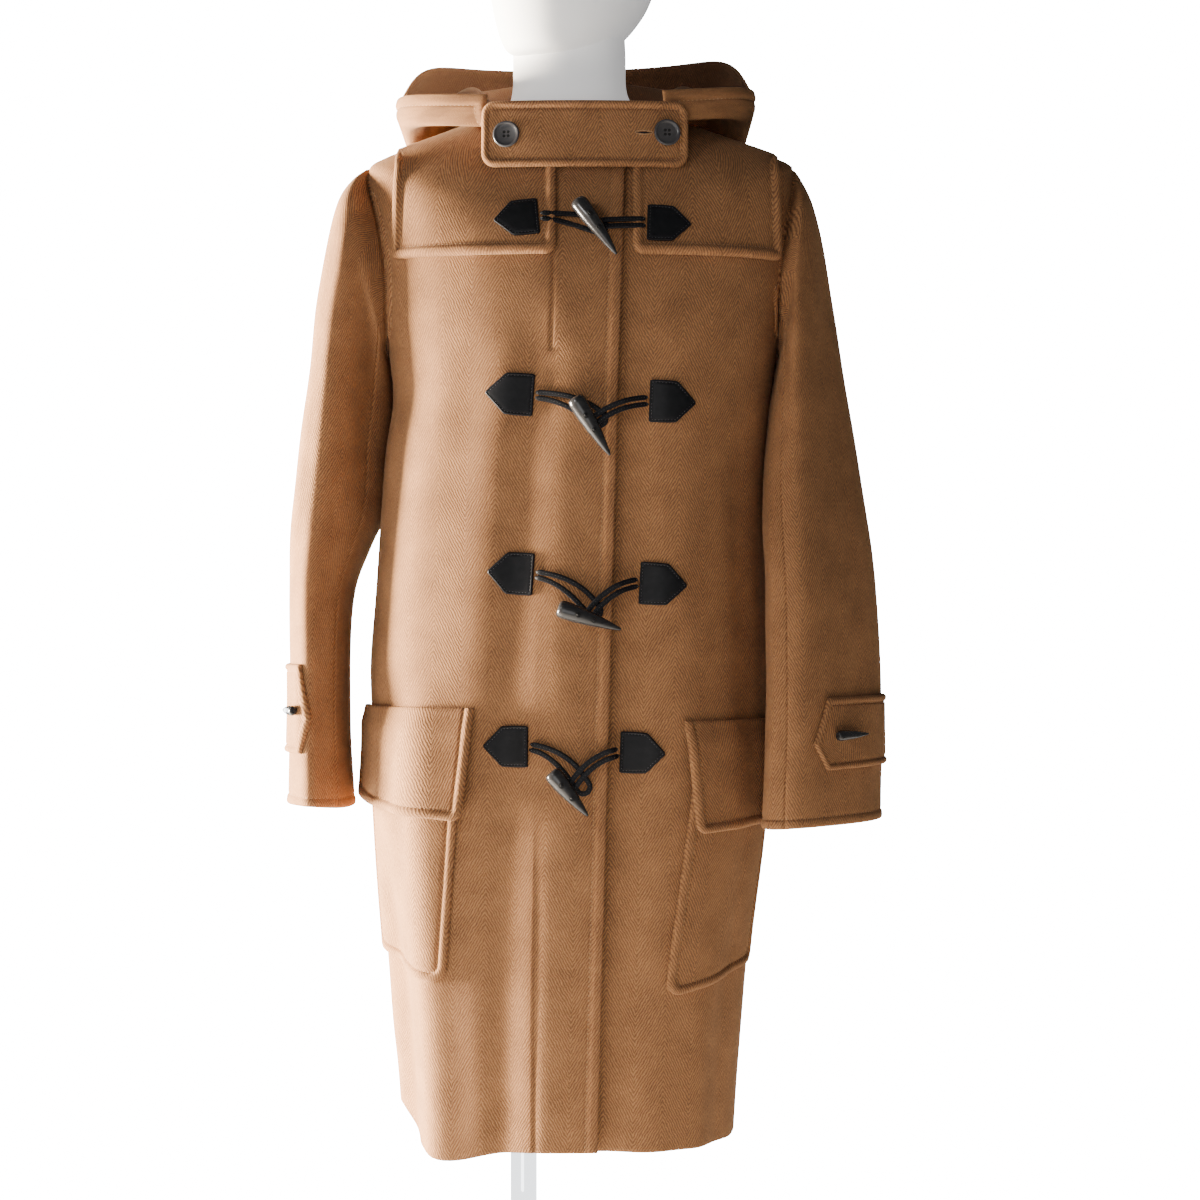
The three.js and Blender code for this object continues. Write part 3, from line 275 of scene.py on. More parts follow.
def lines(length, low, high, coarse, stitch):
    """Shares of a length for grid lines: crowded at an edge or a seam, evenly spaced between."""
    crowd = {"edge": EDGE_LINES * stitch, "seam": SEAM_LINES, "fold": FOLD_LINES}
    start, end = crowd[low], length - crowd[high][::-1]
    if start[-1] > end[0] - 3:
        start, end = start[start < length / 2 - 1], end[end > length / 2 + 1]
    count = max(int(round((end[0] - start[-1]) / coarse)), 1)
    between = np.linspace(start[-1], end[0], count + 1)[1:-1]
    return np.concatenate([start, between, end]) / length


def quarter_round(d, radius):
    """A quarter circle that goes from 0 at an edge to 1 a radius away from it."""
    return np.sqrt(np.clip(1 - (1 - np.clip(d / radius, 0, 1)) ** 2, 0, 1))


def edge_section(d, stitch, puff):
    """Extra height and roundness at a distance d from a finished edge: a swelling up to the stitching, a
    dip at it, and a quarter circle at the edge itself."""
    swelling = puff * (1 - ease((d - 0.62 * stitch) / (0.5 * stitch)))
    swelling = swelling + 0.3 * puff * bell(d - 0.5 * stitch, 0.3 * stitch)
    return swelling - 0.75 * bell(d - stitch, 1.1), quarter_round(d, EDGE_ROUND)


# %% Meshes from grids of points
COINCIDE = 2e-6


def new_mesh(name, points, faces, materials, uv=None, inside=()):
    """A smooth mesh object at the origin, from points in millimetres, joined where they coincide. The faces
    from the first to the second number of inside have the second material."""
    mesh = bpy.data.meshes.new(name)
    mesh.from_pydata((np.asarray(points) * MM).tolist(), [], np.asarray(faces).tolist())
    if uv is not None:
        layer = mesh.uv_layers.new(name="cloth")
        corner = np.empty(len(mesh.loops), np.int32)
        mesh.loops.foreach_get("vertex_index", corner)
        layer.data.foreach_set("uv", (np.asarray(uv) * MM)[corner].astype(np.float32).ravel())
    if inside:
        which = np.zeros(len(mesh.polygons), np.int32)
        which[inside[0]:inside[1]] = 1
        mesh.polygons.foreach_set("material_index", which)
    work = bmesh.new()
    work.from_mesh(mesh)
    bmesh.ops.remove_doubles(work, verts=work.verts, dist=COINCIDE)
    work.to_mesh(mesh)
    work.free()
    mesh.polygons.foreach_set("use_smooth", np.ones(len(mesh.polygons), bool))
    for material in materials if inside else [materials]:
        mesh.materials.append(material)
    piece = bpy.data.objects.new(name, mesh)
    bpy.context.scene.collection.objects.link(piece)
    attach(piece, "root")
    return piece


def grid_faces(rows, cols, start=0):
    """Quads of a grid of points that are numbered row by row."""
    j, i = np.meshgrid(np.arange(rows - 1), np.arange(cols - 1), indexing="ij")
    first = (j * cols + i).ravel() + start
    return np.stack([first, first + 1, first + cols + 1, first + cols], -1)


def shell(name, face, back, uv, material, tube=False):
    """An outer and an inner grid of points made into one closed mesh. A tube's last column meets its
    first."""
    rows, cols = face.shape[:2]
    count = rows * cols
    first, last = np.arange(cols), (rows - 1) * cols + np.arange(cols - 1, -1, -1)
    right, left = np.arange(1, rows) * cols + cols - 1, np.arange(rows - 2, -1, -1) * cols
    rims = [first, last] if tube else [np.concatenate([first, right, last[1:], left])]
    faces = [grid_faces(rows, cols), grid_faces(rows, cols, count)[:, ::-1]]
    for ring in rims:
        a, b = ring[:-1], ring[1:]
        faces.append(np.stack([a, a + count, b + count, b], -1))
    points = np.concatenate([face.reshape(-1, 3), back.reshape(-1, 3)])
    uv = np.asarray(uv).reshape(-1, 2)
    count = len(faces[0])
    # the inner faces of wool take the copy darkened with painted shade
    inside = (count, 2 * count) if material is WOOL else ()
    materials = (WOOL, WOOL_INSIDE_PAINTED_SHADE) if inside else material
    return new_mesh(name, points, np.concatenate(faces), materials, np.concatenate([uv, uv]), inside)


def lathe(name, profile, place, way, material, sides=48):
    """A profile of (radius, height) turned round an axis that starts at place and points along way."""
    profile, way = np.asarray(profile, float), unit(np.asarray(way, float))
    aside = unit(np.cross(way, (1, 0, 0) if abs(way[0]) < 0.7 else (0, 0, 1)))
    s, c = sin_cos(np.linspace(0, 360, sides + 1))
    round_ = c[:, None] * aside + s[:, None] * np.cross(way, aside)
    points = np.asarray(place) + profile[:, :1, None] * round_ + profile[:, 1:, None] * way
    return new_mesh(name, points.reshape(-1, 3), grid_faces(len(profile), sides + 1), material)


def running(points, axis):
    """Distance along a grid of points in one direction, from its start."""
    step = np.linalg.norm(np.diff(points, axis=axis), axis=-1)
    pad = [(0, 0), (0, 0)]
    pad[axis] = (1, 0)
    return np.pad(np.cumsum(step, axis=axis), pad)


# %% Corner names and the store of sewn pieces
CORNERS = (("left", "low"), ("right", "low"), ("left", "high"), ("right", "high"))
sewn = {}


# %% Both faces of a piece
def keep(name, piece, flat, face, n, edge, wide, tall, size):
    """Keeps what later steps need: the outer face, the distance from the edges and the size laid flat. The
    area is the sum of the cells of the grid, each the size of the cross product of two sides."""
    cell = np.cross(flat[1:, :-1] - flat[:-1, :-1], flat[:-1, 1:] - flat[:-1, :-1])
    size = tuple(float(np.max(side)) * MM for side in size)
    area = float(np.linalg.norm(cell, axis=-1).sum()) * MM * MM
    sewn[name] = {"piece": piece, "face": face, "n": n, "edge": edge, "wide": wide, "tall": tall,
                  "flat": size, "area": area}
    print(f"{name}: {flat.shape[0]} by {flat.shape[1]} points, {size[0]:.3f} by {size[1]:.3f} m")


def cloth(name, surface, place, size, sides, base=None, lift=None, corners=(0, 0, 0, 0), coarse=6.5,
          stitch=8.0, puff=0.8, step=(0.5, 1.0), crease=None, also_u=(), also_v=(), weave_from="left",
          sewn_above=None, welts=()):
    """A piece of cloth with two faces. place(u, v) gives its place on a surface, and sides says for its
    left, right, low and high side if it is a finished edge, a seam or a plain fold. With a base it lies on
    something, that far out. The weave is counted from one side or the middle, so that a curved other side
    doesn't bend it. sewn_above names a side that is a finished edge only below a share of the height. A
    crease is worked out from the distance to the right edge and the height. A welt is a padded, topstitched
    strip along a side between two shares of the height."""
    u = np.union1d(lines(size[0], sides[0], sides[1], coarse, stitch), also_u)
    v = np.union1d(lines(size[1], sides[2], sides[3], coarse, stitch), also_v)
    u, v = np.meshgrid(u, v)
    flat = surface(*place(u, v))
    wide, tall = running(flat, 1), running(flat, 0)
    width, height = wide[:, -1:], tall[-1:, :]
    away = {"left": wide, "right": width - wide, "low": tall, "high": height - tall}
    if sewn_above:
        side, share = sewn_above
        away[side] = away[side] + LEFT_OUT * ease((v - share) / SEWN_FADE)
    nearest = dict.fromkeys(("edge", "seam", "fold"), np.full(u.shape, FAR))
    for kind, distance in zip(sides, away.values()):
        nearest[kind] = np.minimum(nearest[kind], distance)
    edge, seam, fold = nearest.values()
    for radius, (a, b) in zip(corners, CORNERS):
        if not radius:
            continue
        x, y = (np.clip(1 - away[side] / radius, 0, 1) for side in (a, b))
        inside = (x > 0) & (y > 0)
        toward = (1 if a == "left" else -1), (1 if b == "low" else -1)
        u = np.where(inside, u + toward[0] * (x - x * np.sqrt(1 - y * y / 2)) * radius / width, u)
        v = np.where(inside, v + toward[1] * (y - y * np.sqrt(1 - x * x / 2)) * radius / height, v)
        in_circle = np.sqrt(np.clip(x * x + y * y - x * x * y * y, 0, 1))
        edge = np.where(inside, radius * (1 - in_circle), edge)
    a, b = place(u, v)
    flat, n = surface(a, b), normals(surface, a, b, step)
    rise = np.zeros(u.shape) + (lift(u, v) if lift else 0.0)
    if crease:
        rise = rise + crease(away["right"], tall)
    extra, round_ = edge_section(edge, stitch, puff)
    round_ = np.minimum(round_, quarter_round(fold, EDGE_ROUND))
    if base is None:
        outer = rise - CLOTH / 2 + (CLOTH / 2 + extra) * round_
        inner = rise - CLOTH / 2 - (CLOTH / 2 + np.maximum(extra, 0) * 0.5) * round_
    else:
        outer = rise + base + UNDERSIDE + (CLOTH - UNDERSIDE + 1.6 * extra) * round_
        inner = rise + base + UNDERSIDE - UNDERSIDE * round_
    outer = outer - SEAM_DEPTH * bell(seam, SEAM_SPREAD)
    for side, low, high in welts:
        beyond = 1 - ease((v - low) / WELT_FADE) * ease((high - v) / WELT_FADE)
        strip = away[side] + LEFT_OUT * beyond
        outer = outer + edge_section(strip, WELT, WELT_PUFF)[0] * ease(away[side] / EDGE_ROUND)
        edge = np.minimum(edge, strip + stitch - WELT)
    face, back = flat + n * outer[..., None], flat + n * inner[..., None]
    start = {"left": 0, "right": wide.shape[1] - 1, "middle": wide.shape[1] // 2}[weave_from]
    across, up = wide - wide[:, start:start + 1], np.broadcast_to(tall[:, start:start + 1], wide.shape)
    piece = shell(name + "_cloth", face, back, np.stack([across, up], -1), WOOL)
    keep(name, piece, flat, face, n, edge, wide / width, tall / height, (width, height))


def declare(name):
    """Hides the plain solid that the cut piece of cloth stands for."""
    made = sewn[name]
    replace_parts(made["piece"], name)


# %% [markdown]
# ## Stitching
#
# Topstitching follows the finished edges and the welts at one distance. The hems are plain folds. The line
# at that distance is read off the grid: wherever a grid line crosses it there is one point, and the points
# are put in order by their angle round the middle of the piece. Each stitch is one small pointed bar lying
# in the dip.

# %% Stitch lines and stitches
def at_share(grid, j, i):
    """A grid's values between its points: a mix of the four round each place."""
    j0 = np.clip(np.floor(j).astype(int), 0, grid.shape[0] - 2)
    i0 = np.clip(np.floor(i).astype(int), 0, grid.shape[1] - 2)
    s, t = (j - j0)[:, None], (i - i0)[:, None]
    low = grid[j0, i0] * (1 - t) + grid[j0, i0 + 1] * t
    return low * (1 - s) + (grid[j0 + 1, i0] * (1 - t) + grid[j0 + 1, i0 + 1] * t) * s


OFF_GRID, LINE_BREAK = 0.013, 22


def stitch_line(made, level):
    """The line at this distance from the finished edges, as runs of points with their normals. The level is
    shifted a little, so that the line doesn't fall on the grid's own points."""
    over = made["edge"] - level - OFF_GRID
    j, i = np.nonzero(over[:, :-1] * over[:, 1:] < 0)
    down, far = np.nonzero(over[:-1] * over[1:] < 0)
    below = over[down, far] / (over[down, far] - over[down + 1, far])
    row = np.concatenate([j.astype(float), down + below])
    column = np.concatenate([i + over[j, i] / (over[j, i] - over[j, i + 1]), far.astype(float)])
    flat = at_share(np.stack([made["wide"], made["tall"]], -1), row, column)
    order = np.argsort(np.arctan2(flat[:, 1] - 0.5, flat[:, 0] - 0.5))
    points, n = (at_share(made[key], row, column)[order] for key in ("face", "n"))
    breaks = np.nonzero(np.linalg.norm(np.diff(points, axis=0), axis=1) > LINE_BREAK)[0] + 1
    return [(p, q) for p, q in zip(np.split(points, breaks), np.split(n, breaks)) if len(p) > 3]


def stitches(name, runs, material, pitch=4.3, length=3.1, width=0.8, height=0.35):
    """Stitches along runs of points: each has two ends and four points round its middle."""
    centres, ways, ups = [], [], []
    for points, n in runs:
        along = lengths(points)
        at = np.arange(pitch / 2, along[-1], pitch)
        centres.append(on_line(at, along, points))
        ways.append(on_line(at + 1.5, along, points) - on_line(at - 1.5, along, points))
        ups.append(on_line(at, along, n))
    here, way, up = (np.concatenate(part) for part in (centres, ways, ups))
    way = unit(way)
    side = unit(np.cross(way, up))
    ring = [side * width / 2, up * height, -side * width / 2, -up * height]
    ends = [-way * length / 2 - up * 0.15, way * length / 2 - up * 0.15]
    points = np.stack([here + offset for offset in (ends[0], *ring, ends[1])], 1)
    fan = [[0, 2, 1], [0, 3, 2], [0, 4, 3], [0, 1, 4], [5, 1, 2], [5, 2, 3], [5, 3, 4], [5, 4, 1]]
    faces = (np.arange(len(here)) * 6)[:, None, None] + np.array(fan)
    print(f"{name}: {len(here)} stitches")
    return new_mesh(name, points.reshape(-1, 3), faces.reshape(-1, 3), material)


# %% [markdown]
# ## Materials
#
# The weave is worked out from the distance along and up the cloth. Folding the distance across back and
# forth every 27 mm turns slanted lines into a herringbone, and a sine of the slanted distance gives its
# ribs. The same group serves every piece of wool. Leather, horn, the form's cover and the stand are
# plainer.

# %% Node helpers
def add_node(tree, kind, inputs=None, **settings):
    """A shader node with its settings, each input given a value or joined to a socket."""
    made = tree.nodes.new(kind)
    for key, value in settings.items():
        setattr(made, key, value)
    for key, value in (inputs or {}).items():
        if isinstance(value, bpy.types.NodeSocket):
            tree.links.new(value, made.inputs[key])
        else:
            made.inputs[key].default_value = value
    return made


def calc(tree, operation, *values):
    return add_node(tree, "ShaderNodeMath", dict(enumerate(values)), operation=operation).outputs[0]


def noise(tree, vector, scale, detail=2.0, roughness=0.5):
    inputs = {"Vector": vector, "Scale": scale, "Detail": detail, "Roughness": roughness}
    return add_node(tree, "ShaderNodeTexNoise", inputs).outputs["Fac"]


def blend(tree, share, a, b):
    """The colour a turned to b by a share."""
    inputs = {0: share, 6: a if isinstance(a, bpy.types.NodeSocket) else (*a, 1), 7: (*b, 1)}
    return add_node(tree, "ShaderNodeMix", inputs, data_type="RGBA").outputs[2]


def principled(name, rough, color=None, **sockets):
    """A material with one Principled surface, whose even values are set on its sockets."""
    material = bpy.data.materials.new(name)
    material.use_nodes = True
    tree = material.node_tree
    surface = tree.nodes["Principled BSDF"]
    surface.inputs["Roughness"].default_value = rough
    if color:
        surface.inputs["Base Color"].default_value = (*color, 1)
    for key, value in sockets.items():
        surface.inputs[key.replace("_", " ").title().replace("Ior", "IOR")].default_value = value
    return material, tree, surface


def bumped(tree, surface, height, distance, strength=1.0):
    bump = add_node(tree, "ShaderNodeBump", {"Height": height, "Distance": distance, "Strength": strength})
    tree.links.new(bump.outputs["Normal"], surface.inputs["Normal"])


def colored(tree, surface, color):
    tree.links.new(color, surface.inputs["Base Color"])


# %% Wool
# metres: the width of a stripe, of a rib, and how far a stripe's edge and a rib wander
STRIPE, RIB, WANDER, SHIFT = 0.0275, 0.0023, 0.0030, 0.0026
SLANT_ACROSS, SLANT_UP = 0.866, 0.5
GROOVE, RIDGE = (0.067, 0.030, 0.0145), (0.490, 0.236, 0.104)
HERRINGBONE = bpy.data.node_groups.new("Herringbone", "ShaderNodeTree")
for socket, kind in (("Color", "NodeSocketColor"), ("Height", "NodeSocketFloat")):
    HERRINGBONE.interface.new_socket(socket, in_out="OUTPUT", socket_type=kind)
woven = HERRINGBONE.nodes.new("NodeGroupOutput")


def times(a, b, plus=0.0):
    """a times b, plus a third, in the herringbone's group."""
    return calc(HERRINGBONE, "MULTIPLY_ADD", a, b, plus)


uv = add_node(HERRINGBONE, "ShaderNodeUVMap", uv_map="cloth").outputs[0]
axes = add_node(HERRINGBONE, "ShaderNodeSeparateXYZ", {0: uv}).outputs
across = times(noise(HERRINGBONE, uv, 90.0), WANDER, calc(HERRINGBONE, "SUBTRACT", axes[0], WANDER / 2))
folded = calc(HERRINGBONE, "PINGPONG", across, STRIPE)
slanted = times(folded, SLANT_ACROSS, times(axes[1], SLANT_UP))
shifted = times(noise(HERRINGBONE, uv, 260.0, 3.0, 0.6), SHIFT, slanted)
ribs = times(calc(HERRINGBONE, "SINE", times(shifted, 2 * math.pi / RIB)), 0.5, 0.5)
fibre = noise(HERRINGBONE, uv, 1100.0, 3.0, 0.7)
worn = times(noise(HERRINGBONE, uv, 340.0, 2.0), 0.7, 0.14)
patchy = times(noise(HERRINGBONE, uv, 28.0, 3.0), 0.45, -0.245)
shade = times(ribs, worn, times(fibre, 0.60, patchy))
HERRINGBONE.links.new(blend(HERRINGBONE, shade, GROOVE, RIDGE), woven.inputs["Color"])
HERRINGBONE.links.new(times(ribs, worn, times(fibre, 0.5)), woven.inputs["Height"])


def wool_material(name, painted_shade_color=None):
    """Herringbone with a soft nap. A painted shade colour, where given, darkens the copy used for the
    cloth's inner side.
    """
    material, tree, surface = principled(name, 0.94, sheen_weight=0.10, sheen_roughness=0.45,
                                         sheen_tint=(1.0, 0.70, 0.42, 1), specular_ior_level=0.18)
    weave = add_node(tree, "ShaderNodeGroup", node_tree=HERRINGBONE)
    color = weave.outputs["Color"]
    colored(tree, surface, blend(tree, 0.85, color, painted_shade_color) if painted_shade_color else color)
    bumped(tree, surface, weave.outputs["Height"], 0.0005, 0.75)
    return material


WOOL = wool_material("wool")
# painted shade: the inner side is the same wool, darkened to stand for the shade inside the coat and hood
WOOL_INSIDE_PAINTED_SHADE = wool_material("wool inside painted shade", (0.060, 0.026, 0.013))
THREAD = principled("thread", 0.7, (0.47, 0.27, 0.125), sheen_weight=0.2)[0]


# %% Leather, horn, the form and the stand
def object_noise(tree, scale, detail=2.0, stretch=None):
    """Noise on the object's own coordinates, stretched along an axis where asked."""
    place = add_node(tree, "ShaderNodeTexCoord").outputs["Object"]
    if stretch:
        place = add_node(tree, "ShaderNodeMapping", {"Vector": place, "Scale": stretch}).outputs[0]
    return noise(tree, place, scale, detail)


def leather_material():
    material, tree, surface = principled("leather", 0.42, specular_ior_level=0.2)
    worn_off = object_noise(tree, 160.0, 3.0)
    colored(tree, surface, blend(tree, worn_off, (0.003, 0.003, 0.004), (0.010, 0.010, 0.012)))
    bumped(tree, surface, object_noise(tree, 1700.0, 3.0), 0.0003, 0.5)
    return material


def horn_material():
    material, tree, surface = principled("horn", 0.22, specular_ior_level=0.5)
    streaks = object_noise(tree, 120.0, 4.0, (1, 1, 4))
    colored(tree, surface, blend(tree, streaks, (0.013, 0.0125, 0.013), (0.032, 0.031, 0.032)))
    return material


def form_material():
    # painted light: a faint white emission makes the cover glow, standing in for light falling on the neck
    # and head
    material, tree, surface = principled("form cover painted glow", 0.72, (0.93, 0.92, 0.905), emission_strength=0.35,
                                         emission_color=(1, 1, 1, 1))
    bumped(tree, surface, object_noise(tree, 900.0, 2.0), 0.0003, 0.35)
    return material


LEATHER_SKIN = leather_material()
LEATHER_THREAD = principled("leather thread", 0.5, (0.11, 0.11, 0.12))[0]
HORN = horn_material()
BUTTON = principled("button", 0.30, (0.055, 0.052, 0.054), coat_weight=0.2)[0]
# painted shade: near-black laid over the openings of drilled holes and the buttonhole slit, standing in for
# the shade inside them
HOLE_PAINTED_SHADE = principled("hole", 0.9, (0.002, 0.002, 0.002))[0]
FORM_COVER_PAINTED_GLOW = form_material()
STEEL = principled("steel", 0.0, (0.86, 0.87, 0.89), metallic=1.0)[0]
BRUSHED = principled("brushed steel", 0.3, (0.62, 0.63, 0.65), metallic=1.0)[0]
print("materials", len(bpy.data.materials))

# %% [markdown]
# ## Fronts and back
#
# The right front laps over the left. Its free edge is turned and stitched, and a soft crease 65 mm behind
# that edge shows where the facing ends inside. Side seams and armholes sink in, so that the pieces look
# sewn to each other.

# %% Fronts and back
SEAM_TURN = 89.995
ARM_ROWS = (ARM_Z - ARM_HALF * np.cos(np.radians(np.arange(0, 181, 9))) - HEM_Z) / LENGTH
FACING = 65.0
FACING_LINES = np.linspace(0.185, 0.315, 34)
WELT_LINES = np.array([2.4, 4.2, 5.6, 6.8, 7.8, 8.5, 9.0, 9.6, 10.3, 11.4]) / 215
BACK_LINES = np.concatenate([WELT_LINES, 1 - WELT_LINES]) * 0.6 + np.repeat([0, 0.4], len(WELT_LINES))
WELT_LOW, WELT_TOP, WELT_AT_YOKE = ((z - HEM_Z) / LENGTH for z in (1268, 1428, 1338))


def panel(start, end):
    """Places on the body between two turns that depend on the height."""
    def place(u, v):
        h = mix(HEM_Z, NECK_Z, v)
        return mix(start(h), end(h), u), h
    return place


def facing_crease(from_edge, tall):
    """The edge of the facing inside, seen as a shallow trough that wavers a little."""
    away = from_edge - mix(FACING - 7, FACING + 2, tall / LENGTH) - 2.5 * np.sin(tall / 160)
    return -1.8 * bell(away, 1.6) * (0.85 + 0.15 * np.sin(tall / 97 + 1))


right_place = panel(lambda h: -(SEAM_TURN - armhole_turn(h)), lambda h: turn_at_x(closure_x(h), h))
left_place = panel(lambda h: turn_at_x(closure_x(h) - UNDERLAP, h), lambda h: SEAM_TURN - armhole_turn(h))
back_place = panel(lambda h: 180 - SEAM_TURN + armhole_turn(h), lambda h: 180 + SEAM_TURN - armhole_turn(h))
cloth("front_right", body_point, right_place, (285, LENGTH), ("seam", "edge", "fold", "seam"), stitch=12,
      puff=1.5, crease=facing_crease, also_u=np.concatenate([1 - FACING_LINES, WELT_LINES]), also_v=ARM_ROWS,
      weave_from="right", welts=[("left", WELT_LOW, WELT_TOP)])
cloth("front_left", under_point, left_place, (290, LENGTH), ("edge", "seam", "fold", "seam"), stitch=12,
      puff=0.5, also_u=1 - WELT_LINES, also_v=ARM_ROWS, welts=[("right", WELT_LOW, WELT_AT_YOKE)])
cloth("back", body_point, back_place, (440, LENGTH), ("seam", "seam", "fold", "seam"), stitch=12,
      also_u=BACK_LINES, also_v=ARM_ROWS, weave_from="middle",
      welts=[("left", WELT_LOW, WELT_AT_YOKE), ("right", WELT_LOW, WELT_AT_YOKE)])
for name in ("front_right", "front_left", "back"):
    declare(name)

# %% [markdown]
# ## Yoke, pockets and flaps
#
# The storm yoke lies over both shoulders and meets itself at the shoulder seams. The pockets are patches
# under loose flaps. Each lies on the panel below it, a stitch's depth out.

# %% Yoke
YOKE_OUT_X = {-1: 174.0, 1: 181.0}
YOKE_HEM_Z, YOKE_BACK_Z, YOKE_NECK_Z = 1345.0, 1332.0, 1481.0
YOKE_INNER_X = {-1: -24.0, 1: 46.0}


def yoke_outer_turn(h, side):
    """Where the yoke ends at the shoulder: at the seam, or further in where the body is wider than the
    yoke."""
    row = rows_at(BODY, h)
    seam_x = section_point(row, side * SEAM_TURN)[..., 0] * side
    inside = np.minimum(np.abs(turn_at_x(side * YOKE_OUT_X[side], h)), SEAM_TURN)
    return side * np.where(seam_x <= YOKE_OUT_X[side], SEAM_TURN, inside)


def section_at_z(turn, z):
    """The row of the tilted sections that reaches this height, found by steps toward it."""
    h = np.zeros(np.shape(turn)) + z
    for _ in range(14):
        h = h + 0.8 * (z - section_point(rows_at(BODY, h), turn)[..., 2])
    return h


def yoke_front_place(side):
    """Places from one vertical side of the flap to the other, with a level hem."""
    def place(u, v):
        def across(h):
            return mix(turn_at_x(YOKE_INNER_X[side], h), yoke_outer_turn(h, side), u if side > 0 else 1 - u)

        h = mix(YOKE_HEM_Z, YOKE_NECK_Z, v)
        for _ in range(6):
            h = mix(section_at_z(across(h), YOKE_HEM_Z), YOKE_NECK_Z, v)
        return across(h), h
    return place


def yoke_back_place(u, v):
    h = mix(YOKE_BACK_Z, YOKE_NECK_Z, v)
    return mix(180 - yoke_outer_turn(h, 1), 180 - yoke_outer_turn(h, -1), u), h


YOKE = {"base": GAP, "stitch": 10.5, "puff": 1.8, "coarse": 5.0}
LOOSE = ("edge", "edge", "edge", "seam")
cloth("yoke_right", body_point, yoke_front_place(-1), (165, 150), LOOSE, corners=(9, 10, 0, 0),
      weave_from="right", sewn_above=("left", 0.76), **YOKE)
cloth("yoke_left", body_point, yoke_front_place(1), (150, 150), LOOSE, corners=(10, 9, 0, 0),
      sewn_above=("right", 0.76), **YOKE)
cloth("yoke_back", body_point, yoke_back_place, (370, 150), ("seam", "seam", "edge", "seam"),
      weave_from="middle", **YOKE)
for end in ("right", "left", "back"):
    declare("yoke_" + end)

# %% Pockets and flaps
# side, in_top, in_low, out_top, out_low in degrees, top, low_in, low_out, rise
POCKETS = {
    "pocket_right": (-1, 28, 35.5, 86, 86, 900, 679, 707, 3.4),
    "pocket_left": (1, 34, 28, 82, 76, 900, 668, 693, 3.4),
    "flap_right": (-1, 24.5, 28.5, 88, 89, 932, 829, 849, 9.0),
    "flap_left": (1, 29.5, 33, 84, 84, 920, 818, 828, 8.0)}
FLAP_LIFT = CLOTH + GAP + 0.3


def pocket_place(side, in_top, in_low, out_top, out_low, top, low_in, low_out):
    """Places on a slanted rectangle: one corner's turn and height mixed into the next."""
    def place(u, v):
        out = u if side > 0 else 1 - u
        turn = side * mix(mix(in_low, in_top, v), mix(out_low, out_top, v), out)
        return turn, mix(mix(low_in, low_out, out), top, v)
    return place


def bag_lift(rise):
    return lambda u, v: rise * np.sin(np.pi * u) * np.sin(np.pi * np.clip(v, 0, 1))


def flap_lift(rise):
    return lambda u, v: FLAP_LIFT * (1 - ease((v - 0.78) / 0.2)) + rise * ((1 - v) ** 1.5 * 0.9 + 0.1)


for name, spec in POCKETS.items():
    side, rise, flap = spec[0], spec[-1], name.startswith("flap")
    inner_low, outer_low = (9, 9) if flap else (17, 12)
    corners = (outer_low, inner_low, 0, 0) if side < 0 else (inner_low, outer_low, 0, 0)
    surface, place = body_point if side < 0 else under_point, pocket_place(*spec[:-1])
    cloth(name, surface, place, (165, 95 if flap else 215), LOOSE, base=GAP, corners=corners, stitch=9,
          lift=(flap_lift if flap else bag_lift)(rise), coarse=5.0, puff=1.3 if flap else 0.9)
    declare(name)

# %% [markdown]
# ## Sleeves
#
# A sleeve starts on the armhole's own oval and hangs down, so its first ring is a curve on the body. A
# cubic runs through all rings. The wide soft creases at the elbow are bells across the round of the sleeve.

# %% Sleeves
# outer_x, outer_z, inner_x, inner_z, mid_y, half_depth, lean
SLEEVE_ROWS = {
    "sleeve_right": np.array([
        [-217, 1428, -185, 1257, 0, 66, -8], [-230, 1406, -182.8, 1244, 0, 67, -20],
        [-241, 1362, -181, 1226, 0, 66, -26], [-250, 1308, -181, 1204, 0, 65, -30],
        [-256, 1250, -185, 1172, 0, 65, -30], [-264, 1190, -187, 1141, 0, 64, -30],
        [-270, 1140, -191, 1110, 0, 63, -28], [-275, 1090, -203, 1080, -2, 62, -20],
        [-277, 1040, -217, 1040, -4, 61, -8], [-277, 980, -221, 980, -6, 61, 0],
        [-277, 915, -221, 915, -8, 62, 0], [-278, 860, -218, 860, -10, 63, 0],
        [-279, 840, -217, 836, -10, 63, 0]], float),
    "sleeve_left": np.array([
        [207, 1428, 184.8, 1257, 0, 66, 4], [218, 1406, 181.3, 1244, 0, 67, 9],
        [230, 1362, 177.7, 1224, -2, 66, 20], [239, 1308, 174.4, 1200, -6, 65, 28],
        [248, 1250, 171, 1168, -12, 63, 30], [257, 1190, 168, 1134, -22, 60, 32],
        [266, 1130, 167, 1094, -34, 57, 34], [274, 1070, 168, 1052, -45, 55, 38],
        [279, 1010, 168, 1002, -54, 53, 41], [281, 950, 168, 948, -60, 52, 43],
        [282, 900, 167, 898, -64, 51, 44], [281, 860, 165, 854, -67, 51, 45],
        [281, 826, 164, 822, -69, 51, 45]], float)}
SLEEVE_SIDE = {"sleeve_right": -1, "sleeve_left": 1}
# around_top, around_low, spread, rise, from and to a ring
SLEEVE_FOLDS = {
    "sleeve_right": [(66, 84, 17, 8, 0.8, 15), (118, 128, 20, -7, 1.2, 8), (250, 262, 30, 5, 2, 13)],
    "sleeve_left": [(96, 112, 16, 8, 0.8, 15), (50, 62, 20, -4, 2, 12), (235, 250, 30, 5, 2, 13)]}
LAST_RING = 13
TUCK, TUCK_DROP = 1.0, 4.0
SEAM_DEGREES = (-4.0, -2.2, -1.0, 0, 1.0, 2.2, 4.0)


